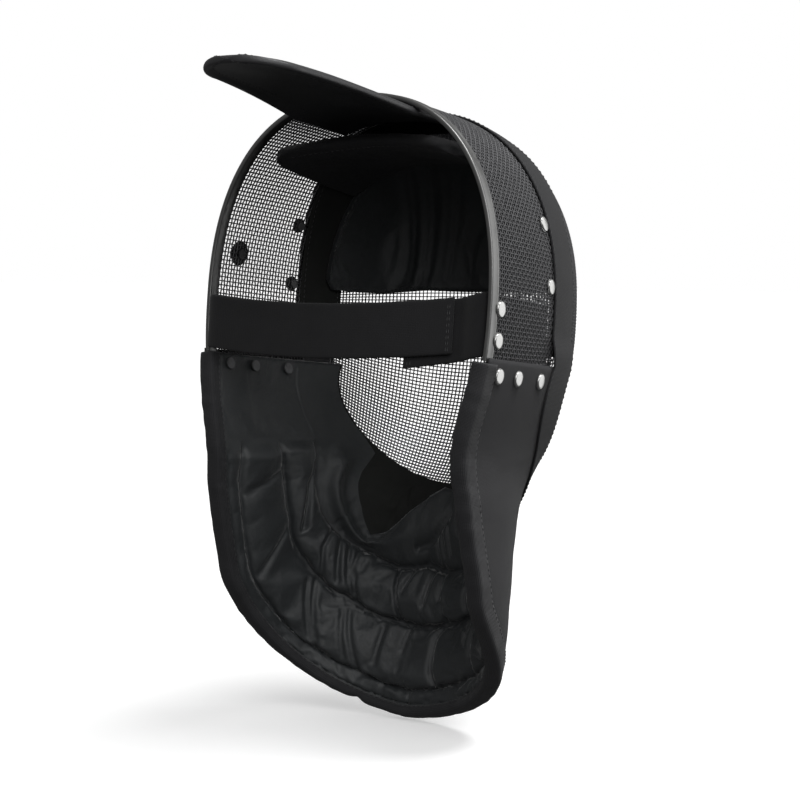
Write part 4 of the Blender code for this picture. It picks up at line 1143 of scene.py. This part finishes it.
def buildPad():
    along = np.linspace(0, 1, pad["along"])
    across = np.linspace(-1, 1, pad["acrossSteps"])
    t, s = np.meshgrid(along, across, indexing="ij")
    corner = pad["cornerBack"] * np.clip((np.abs(s) - 0.8) / 0.2, 0, 1) ** 2.4
    rear = -(pad["tipSetback"] + pad["bow"] * (1 - s**2) + corner)
    y = rear + (-pad["front"] - rear) * t
    endHeight = pad["endHeight"] + pad["endFall"] * (y + pad["tipSetback"])
    endHalf = cageHalf(y, endHeight + pad["edgeThick"]) - pad["wallGap"]
    endHalf = endHalf - pad["leafEnd"] * (1 - np.clip(t / pad["leafLength"], 0, 1) ** 0.5) ** 1.5
    z = endHeight + (pad["height"] - endHeight) * (1 - s**2)
    near = np.minimum(1, np.minimum((1 - np.abs(s)) * 13, np.minimum(t, 1 - t) * 13))
    thick = pad["thick"] / 2 * quarterRound(near)
    # Quilted in three lobes with seams across the pad
    lobes = np.abs(np.sin(math.pi * (t * 2.5 + 0.1))) ** 0.5
    lobes = 1 - pad["puff"] / pad["thick"] * (1 - lobes) * np.minimum(1, near * 1.5)
    soft = 0.5 * noise2(s * 90, y, 51, 15, 12) * near
    roll = pad["rearRoll"] * near * np.exp(-t * 5) * (1 - np.abs(s) ** 6)
    top = np.stack([endHalf * s, y, z + thick * lobes + soft + roll], -1)
    bottom = np.stack([endHalf * s, y, z - thick * lobes - soft], -1)
    stitchAlong(bottom[4, 8:-8].copy(), np.tile([0, 0.3, -1.0], (pad["acrossSteps"] - 16, 1)))
    made = seat(skinBody("crownPad", top, bottom), trimPaint, "black_cloth", "crown_pad")
    return made


buildPad()
print("crown pad made")


# Forehead lining with standing folds

forehead = {
    "low": 60.5, "sideDrop": 6.5, "pad": 4.6, "standIn": 5.8, "sideDepth": 117, "topDepth": 128, "fold": 2.0,
    "folds": (0.705, 0.585, 0.415), "foldSlant": 0.55, "foldWidth": 0.035, "along": 170, "rows": 64,
    "slack": 0.025, "frames": 12, "cap": 2.0,
}


def buildForehead():
    front = -(forehead["sideDepth"] + 4)
    sideLow = forehead["low"] - forehead["sideDrop"]
    half = float(cageHalf(np.array(float(front)), np.array(float(sideLow))))
    across = np.linspace(-1, 1, forehead["along"])
    share = np.linspace(0, 1, forehead["rows"])
    c, t = np.meshgrid(across, share, indexing="ij")
    edgeAngle = float(angleAt(np.array(float(front)), np.array(float(sideLow)))) + 0.03
    angle = math.pi / 2 + (edgeAngle - math.pi / 2) * c
    deeper = forehead["topDepth"] - forehead["sideDepth"]
    topY = -(forehead["sideDepth"] + deeper * np.maximum(0, np.sin(angle)) ** 3)
    top = cagePoint(angle, topY)
    low = forehead["low"] - forehead["sideDrop"] * ease(np.abs(c), 0.55, 0.97)
    rise = np.sin(t * math.pi / 2)
    x = half * c + (top[..., 0] - half * c) * rise
    z = low + (top[..., 2] - low) * rise
    y = np.where(t < 1, frontDepth(x, z), topY)
    place = angleAt(y, z)
    place = np.where(x >= 0, place, math.pi - place)
    fade = ease(t, 0.01, 0.12) * (1 - ease(t, 0.75, 0.98))
    lines = [np.abs(np.abs(c) + forehead["foldSlant"] * (t - 0.1) - p) for p in forehead["folds"]]
    relief = sum(forehead["fold"] * np.exp(-((line - 0.02) / forehead["foldWidth"]) ** 2) for line in lines)
    border = np.minimum(np.minimum(t, 1 - t) * 90, (1 - np.abs(c)) * 120) / 2.5
    rounded = quarterRound(np.clip(border, 0, 1))
    ripple = 0.7 * noise2(c * 120 + t * 60, t * 90, 61, 14, 60)
    outer = onCage(place, y, -forehead["standIn"] + rounded * forehead["pad"] / 2)
    inner = onCage(place, y, -forehead["standIn"] - rounded * (forehead["pad"] / 2 + relief * fade + ripple * fade))
    pinned = (t < 0.02) | (t > 0.98) | (np.abs(c) > 0.985)
    moved = settleCloth("foreheadSheet", inner, pinned, forehead["slack"], forehead["frames"], 0.8)
    reach = np.linalg.norm(moved, axis=-1, keepdims=True)
    inner = inner + moved * np.minimum(1, forehead["cap"] / np.maximum(reach, 1e-6))
    stitchAlong(inner[:, 3].copy(), inner[:, 3] - outer[:, 3])
    stitchAlong(inner[4:-4, -4].copy(), inner[4:-4, -4] - outer[4:-4, -4])
    made = seat(skinBody("foreheadLining", outer, inner), satinPaint, "lining_satin", "forehead_lining")
    return made


buildForehead()
print("forehead lining made")


# Rear strap and its tab

strap = {
    "width": 37, "thick": 2.4, "height": 18.5, "lift": 2.5, "sag": 8, "rise": 5, "standIn": 3.4,
    "endDepth": 98, "bow": 9, "wallShares": (1, 0.7, 0.42, 0.289, 0.1445), "lapEnd": 0.77,
    "tabLap": 0.47, "tabDrop": 10, "tabWidth": 42, "tabLow": 2.5,
    "edge": 1.1, "along": 220, "acrossSteps": 22,
}


def wallX(y):
    height = np.array(strap["height"] - strap["width"] / 2)
    return float(cageHalf(np.array(float(y)), height)) - strap["standIn"]


def curveThrough(points, shares):
    points = np.array(points, float)
    lengths = np.linalg.norm(np.diff(points, axis=0), axis=1)
    ends = np.cumsum(lengths)
    want = np.clip(shares, 0, 1) * ends[-1]
    at = np.minimum(np.searchsorted(ends, want), len(lengths) - 1)
    t = ((want - ends[at] + lengths[at]) / lengths[at])[:, None]
    before, start = points[np.maximum(at - 1, 0)], points[at]
    end, after = points[at + 1], points[np.minimum(at + 2, len(points) - 1)]
    leave, arrive = unit(end - before) * lengths[at][:, None], unit(after - start) * lengths[at][:, None]
    return (start * (2 * t**3 - 3 * t**2 + 1) + leave * (t**3 - 2 * t**2 + t)
            + end * (3 * t**2 - 2 * t**3) + arrive * (t**3 - t**2))


def strapRoute():
    side, turn = wallX(0), strap["bow"] * 0.9
    alongWall = [(wallX(-strap["endDepth"] * k), -strap["endDepth"] * k) for k in strap["wallShares"]]
    return (
        *alongWall, (side, -mask["gap"]), (side - turn * 0.35, turn * 0.62), (side - turn * 1.4, turn * 0.95),
        (side * 0.45, strap["bow"] * 1.05), (0, strap["bow"]), (-side * 0.4, strap["bow"] * 0.45),
        (-side * strap["lapEnd"], -strap["bow"] * 0.75),
    )


def strapDepthAt(x):
    run = curveThrough(strapRoute(), np.linspace(0.3, 1, 2000))
    return float(np.interp(-x, -run[:, 0], run[:, 1]))


def tabRoute():
    side, depth = wallX(0), strap["thick"] + mask["gap"] * 1.5
    lapStart, lapEnd = -side * strap["tabLap"], -side * strap["lapEnd"]
    lapMid = (lapStart + lapEnd) / 2
    alongWall = [(-wallX(-strap["endDepth"] * k), -strap["endDepth"] * k) for k in strap["wallShares"]]
    return (
        *alongWall, (-side + depth * 0.2, -rim["leg"] * 0.68), (-side + depth * 2.6, -rim["leg"] * 0.55),
        (lapEnd - depth, strapDepthAt(lapEnd) - depth * 1.25), (lapMid, strapDepthAt(lapMid) - depth * 1.12),
        (lapStart, strapDepthAt(lapStart) - depth * 1.12),
    )


def strapMiddle(x):
    share = x / wallX(0)
    return strap["height"] + strap["lift"] - strap["sag"] * (1 - share**2) + strap["rise"] * (1 - share) / 2


def tabMiddle(x):
    share = (x / wallX(0) + 1) / (1 - strap["tabLap"])
    return strapMiddle(-wallX(0)) - strap["tabLow"] - strap["tabDrop"] * share


def buildRibbon(name, node, route, middleOf, width, seed):
    along = np.linspace(0, 1, strap["along"])
    path = curveThrough(route, along)
    run = unit(np.gradient(path, axis=0))
    side = np.stack([-run[:, 1], run[:, 0]], -1)
    across = edgeSteps(strap["acrossSteps"], width, strap["edge"], 3)
    thick = thicknessAt(across, width, strap["edge"]) * strap["thick"] / 2
    length = runAlong(path)
    ends = np.clip(np.minimum(length, length[-1] - length) / 0.8, 0, 1)
    rounded = quarterRound(ends)
    thick = thick[None, :] * rounded[:, None]
    frayed = 0.25 * noise1(length, seed, 4)[:, None] * (across - 0.5)[None, :]
    z = middleOf(path[:, 0])[:, None] + (across - 0.5)[None, :] * width + frayed
    x, y = path[:, :1] + side[:, :1] * thick, path[:, 1:] + side[:, 1:] * thick
    outer = np.stack([x, y, z], -1)
    x, y = path[:, :1] - side[:, :1] * thick, path[:, 1:] - side[:, 1:] * thick
    inner = np.stack([x, y, z], -1)
    # The free end is sewn down with two short rows
    for back in (3.0, 5.0):
        end = int(np.searchsorted(length, length[-1] - back))
        for skin, other in ((outer, inner), (inner, outer)):
            stitchAlong(skin[end, 3:-3].copy(), skin[end, 3:-3] - other[end, 3:-3])
    return seat(skinBody(name, outer, inner), elasticPaint, "strap_elastic", node)


buildRibbon("headStrap", "head_strap", strapRoute(), strapMiddle, strap["width"], 71)
buildRibbon("strapTab", "strap_tab", tabRoute(), tabMiddle, strap["tabWidth"], 72)
print("straps made")


# Rivets and the round button

fasteners = {
    "headRadius": 5.5, "headHeight": 1.9, "shank": 2, "tailRadius": 4.1, "tailHeight": 1.2,
    "bibDepths": (16, 43, 78), "bibDrop": 7.5, "meshHeights": (97, 55), "meshInset": 6.5,
    "strapDepth": 11.5, "strapSpread": 10.2, "buttonRadius": 8.9, "buttonHeight": 1.2,
    "buttonDepth": 29, "buttonAt": 71,
}


def wallPlace(depth, z, side=1):
    angle = angleAt(np.array(-float(depth)), np.array(float(z)))
    base = onCage(angle, -float(depth), 0.0)
    normal = unit(onCage(angle, -float(depth), 1.0) - base)
    flip = np.array([side, 1, 1])
    base, normal = base * flip, normal * flip
    right = unit(np.cross(normal, [0, 0, 1.0]))
    place = np.eye(4)
    place[:3, 0], place[:3, 1], place[:3, 2], place[:3, 3] = right, np.cross(normal, right), normal, base
    return place


def rivetOutline(outside, inside, headRadius, headHeight, tailRadius, tailHeight=1.0):
    dome = np.linspace(0, math.pi / 2, 12)
    head = [(headRadius * 0.97 * math.sin(t) ** 0.8,
             outside + headHeight * (0.15 + 0.85 * math.cos(t) ** 0.42)) for t in dome]
    rimLine = [(headRadius, outside + headHeight * 0.1), (headRadius * 0.98, outside)]
    low = fasteners["tailHeight"] * tailHeight
    tail = [(fasteners["shank"], outside), (fasteners["shank"], -inside), (tailRadius, -inside),
            (tailRadius, -inside - low * 0.7), (tailRadius * 0.94, -inside - low * 0.95),
            (tailRadius * 0.85, -inside - low), (tailRadius * 0.3, -inside - low), (0, -inside - low * 0.9)]
    return [(1e-4, head[0][1]), *head[1:], *rimLine, *tail[:-1], (1e-4, tail[-1][1])]


def buildRivets():
    f, gap = fasteners, mask["gap"]
    bodies, nodes = [], []
    onMesh, headRows = 0.8, 13  # half the mesh's thickness; rings of a rivet's head
    rivet = (f["headRadius"], f["headHeight"], f["tailRadius"])
    bibOut, bibIn = bib["standOff"] + bib["cloth"] / 2, bib["standIn"] + bib["pad"] / 2
    upper = strap["height"] + f["strapSpread"]
    strapGap = float(cageHalf(np.array(-f["strapDepth"]), np.array(upper))) - wallX(-f["strapDepth"])
    strapIn = strapGap + strap["thick"] / 2 + gap
    rimFace = onMesh + gap + rim["sheet"]
    for side, sideName in ((1, "left"), (-1, "right")):
        for number, depth in enumerate(f["bibDepths"], 1):
            outline = rivetOutline(bibOut + gap, bibIn + 2 * gap, *rivet)
            bodies.append(lathe(outline, wallPlace(depth, bib["top"] - f["bibDrop"], side)))
            nodes.append(f"bib_rivet_{sideName}_{number}")
        for number, height in enumerate(f["meshHeights"], 1):
            depth = float(band["setbackSide"])
            for _ in range(4):
                depth = float(-bandRear(angleAt(np.array(-depth), np.array(float(height))))) - f["meshInset"]
            outline = rivetOutline(onMesh + gap, onMesh + 2 * gap, *rivet[:2], rivet[2] * 0.8, 0.6)
            bodies.append(lathe(outline, wallPlace(depth, height, side)))
            nodes.append(f"mesh_rivet_{sideName}_{number}")
        middle = strap["height"] + (0 if side > 0 else strap["rise"])
        for number, offset in enumerate((f["strapSpread"], -f["strapSpread"]), 1):
            outline = rivetOutline(rimFace + gap, strapIn + 2 * gap, *rivet)
            bodies.append(lathe(outline, wallPlace(f["strapDepth"], middle + offset, side)))
            nodes.append(f"strap_rivet_{sideName}_{number}")
    made = joined("rivets", bodies)
    made.data.set_sharp_from_angle(angle=math.radians(40))
    seat(made, rivetPaint, "rivet_steel", *nodes)
    # The tails inside the mask get a darker, rougher copy of the steel: painted shade, as they sit in the mask's
    # shadow
    made.data.materials.append(shadedTailPaint)
    ring = np.tile(np.repeat(np.arange(len(outline) - 1), latheSegments), len(bodies))
    made.data.polygons.foreach_set("material_index", (ring >= headRows).astype(np.int32))
    radius = f["buttonRadius"]
    outline = rivetOutline(onMesh + gap, onMesh + 2 * gap, radius, f["buttonHeight"], radius * 0.45, 0.3)
    button = joined("sideButton", [lathe(outline, wallPlace(f["buttonDepth"], f["buttonAt"]), 48)])
    button.data.set_sharp_from_angle(angle=math.radians(40))
    seat(button, plasticPaint, "button_plastic", "side_button")


buildRivets()
print("rivets made")


def buildStitches():
    # Every sewn row as one mesh of short thread loops
    ends = stitches["radius"] * np.array([0.45, 1.0, 0.45])
    made = tubePaths("seamStitches", stitchPaths, stitchUps, ends)
    return seat(made, threadPaint, "black_cloth")


buildStitches()
print("stitches made", len(stitchPaths))


# Floor, light and camera

studio = {
    "floorDrop": 2, "floorSize": 12, "floorShade": 0.8, "floorGlow": 0.42, "skyLow": 0.1, "skyHigh": 0.34,
    "sunPower": 2.1, "sunSpread": 30, "sunTravel": (0.33, 0.2, -1.0),
    "keyPower": 32, "keySize": 2.0, "keyPlace": (-1.5, 1.4, 1.3),
    "edgePower": 15, "edgeSize": 2.0, "edgePlace": (-1.2, -1.4, 0.05), "aimHeight": -0.15,
}
photoView = {
    "turn": 33.9, "lift": 4.4, "distance": 1360, "mmPerPixel": 0.67,
    "rimPixel": (338.8, 355), "framePixels": 800,
}


def buildFloor():
    low = cadBox[0][2] - studio["floorDrop"] / 1000
    size = studio["floorSize"]
    mesh = bpy.data.meshes.new("floor")
    corners = [(-size, -size, low), (size, -size, low), (size, size, low), (-size, size, low)]
    mesh.from_pydata(corners, [], [(0, 1, 2, 3)])
    floor = bpy.data.objects.new("floor", mesh)
    bpy.context.scene.collection.objects.link(floor)
    glow = {"Emission Color": (1, 1, 1, 1), "Emission Strength": studio["floorGlow"], "Specular IOR Level": 0.0}
    paint = Paint("paleFloor", (studio["floorShade"],) * 3, 0.9, 0, **glow)
    mesh.materials.append(paint.material)
    # The floor's own glow isn't thrown back on the black mask
    floor.visible_diffuse = floor.visible_glossy = False


def areaLight(name, place, target, power, size, onCloth=True):
    data = bpy.data.lights.new(name, "AREA")
    data.energy = power
    data.size = size
    light = bpy.data.objects.new(name, data)
    light.location = place
    light.rotation_euler = (Vector(target) - Vector(place)).to_track_quat("-Z", "Y").to_euler()
    light.visible_diffuse = onCloth
    bpy.context.scene.collection.objects.link(light)


def buildLight():
    # A white backdrop, and a dim room with a brighter ceiling that lights the mask
    world = bpy.data.worlds.new("studio")
    bpy.context.scene.world = world
    world.use_nodes = True
    nodes, links = world.node_tree.nodes, world.node_tree.links
    room = nodes["Background"]
    place = nodes.new("ShaderNodeTexCoord")
    split = nodes.new("ShaderNodeSeparateXYZ")
    height = nodes.new("ShaderNodeMapRange")
    height.inputs["From Min"].default_value = -0.3
    height.inputs["To Min"].default_value = studio["skyLow"]
    height.inputs["To Max"].default_value = studio["skyHigh"]
    links.new(place.outputs["Generated"], split.inputs[0])
    links.new(split.outputs["Z"], height.inputs["Value"])
    links.new(height.outputs["Result"], room.inputs["Strength"])
    room.inputs["Color"].default_value = (1, 1, 1, 1)
    backdrop = nodes.new("ShaderNodeBackground")
    seen = nodes.new("ShaderNodeLightPath")
    both = nodes.new("ShaderNodeMixShader")
    links.new(seen.outputs["Is Camera Ray"], both.inputs[0])
    links.new(room.outputs[0], both.inputs[1])
    links.new(backdrop.outputs[0], both.inputs[2])
    backdrop.inputs["Color"].default_value = (1, 1, 1, 1)
    links.new(both.outputs[0], nodes["World Output"].inputs["Surface"])
    sun = bpy.data.lights.new("sun", "SUN")
    sun.energy = studio["sunPower"]
    sun.angle = math.radians(studio["sunSpread"])
    lamp = bpy.data.objects.new("sun", sun)
    lamp.rotation_euler = Vector(studio["sunTravel"]).to_track_quat("-Z", "Y").to_euler()
    bpy.context.scene.collection.objects.link(lamp)
    areaLight("key", studio["keyPlace"], (0, 0, studio["aimHeight"]), studio["keyPower"], studio["keySize"])
    areaLight("edge", studio["edgePlace"], (0, 0, studio["aimHeight"]), studio["edgePower"], studio["edgeSize"], False)


def buildCamera():
    turn, lift = math.radians(photoView["turn"]), math.radians(photoView["lift"])
    forward = Vector((math.sin(turn) * math.cos(lift), -math.cos(turn) * math.cos(lift), -math.sin(lift)))
    right = Vector((-math.cos(turn), -math.sin(turn), 0))
    up = right.cross(forward)
    focal = photoView["distance"] / photoView["mmPerPixel"]
    half = photoView["framePixels"] / 2
    ray = forward * focal + right * (photoView["rimPixel"][0] - half) + up * (half - photoView["rimPixel"][1])
    rimMiddle = Vector(toRow([0, 0, 0]).tolist())
    eye = rimMiddle - ray * (photoView["mmPerPixel"] / 1000)
    data = bpy.data.cameras.new("photoCamera")
    data.sensor_width = 36
    data.lens = 36 * focal / photoView["framePixels"]
    camera = bpy.data.objects.new("photoCamera", data)
    camera.matrix_world = Matrix((
        (right.x, up.x, -forward.x, eye.x), (right.y, up.y, -forward.y, eye.y),
        (right.z, up.z, -forward.z, eye.z), (0, 0, 0, 1)))
    bpy.context.scene.collection.objects.link(camera)
    bpy.context.scene.camera = camera


buildFloor()
buildLight()
buildCamera()
bpy.context.scene.view_settings.view_transform = "Standard"
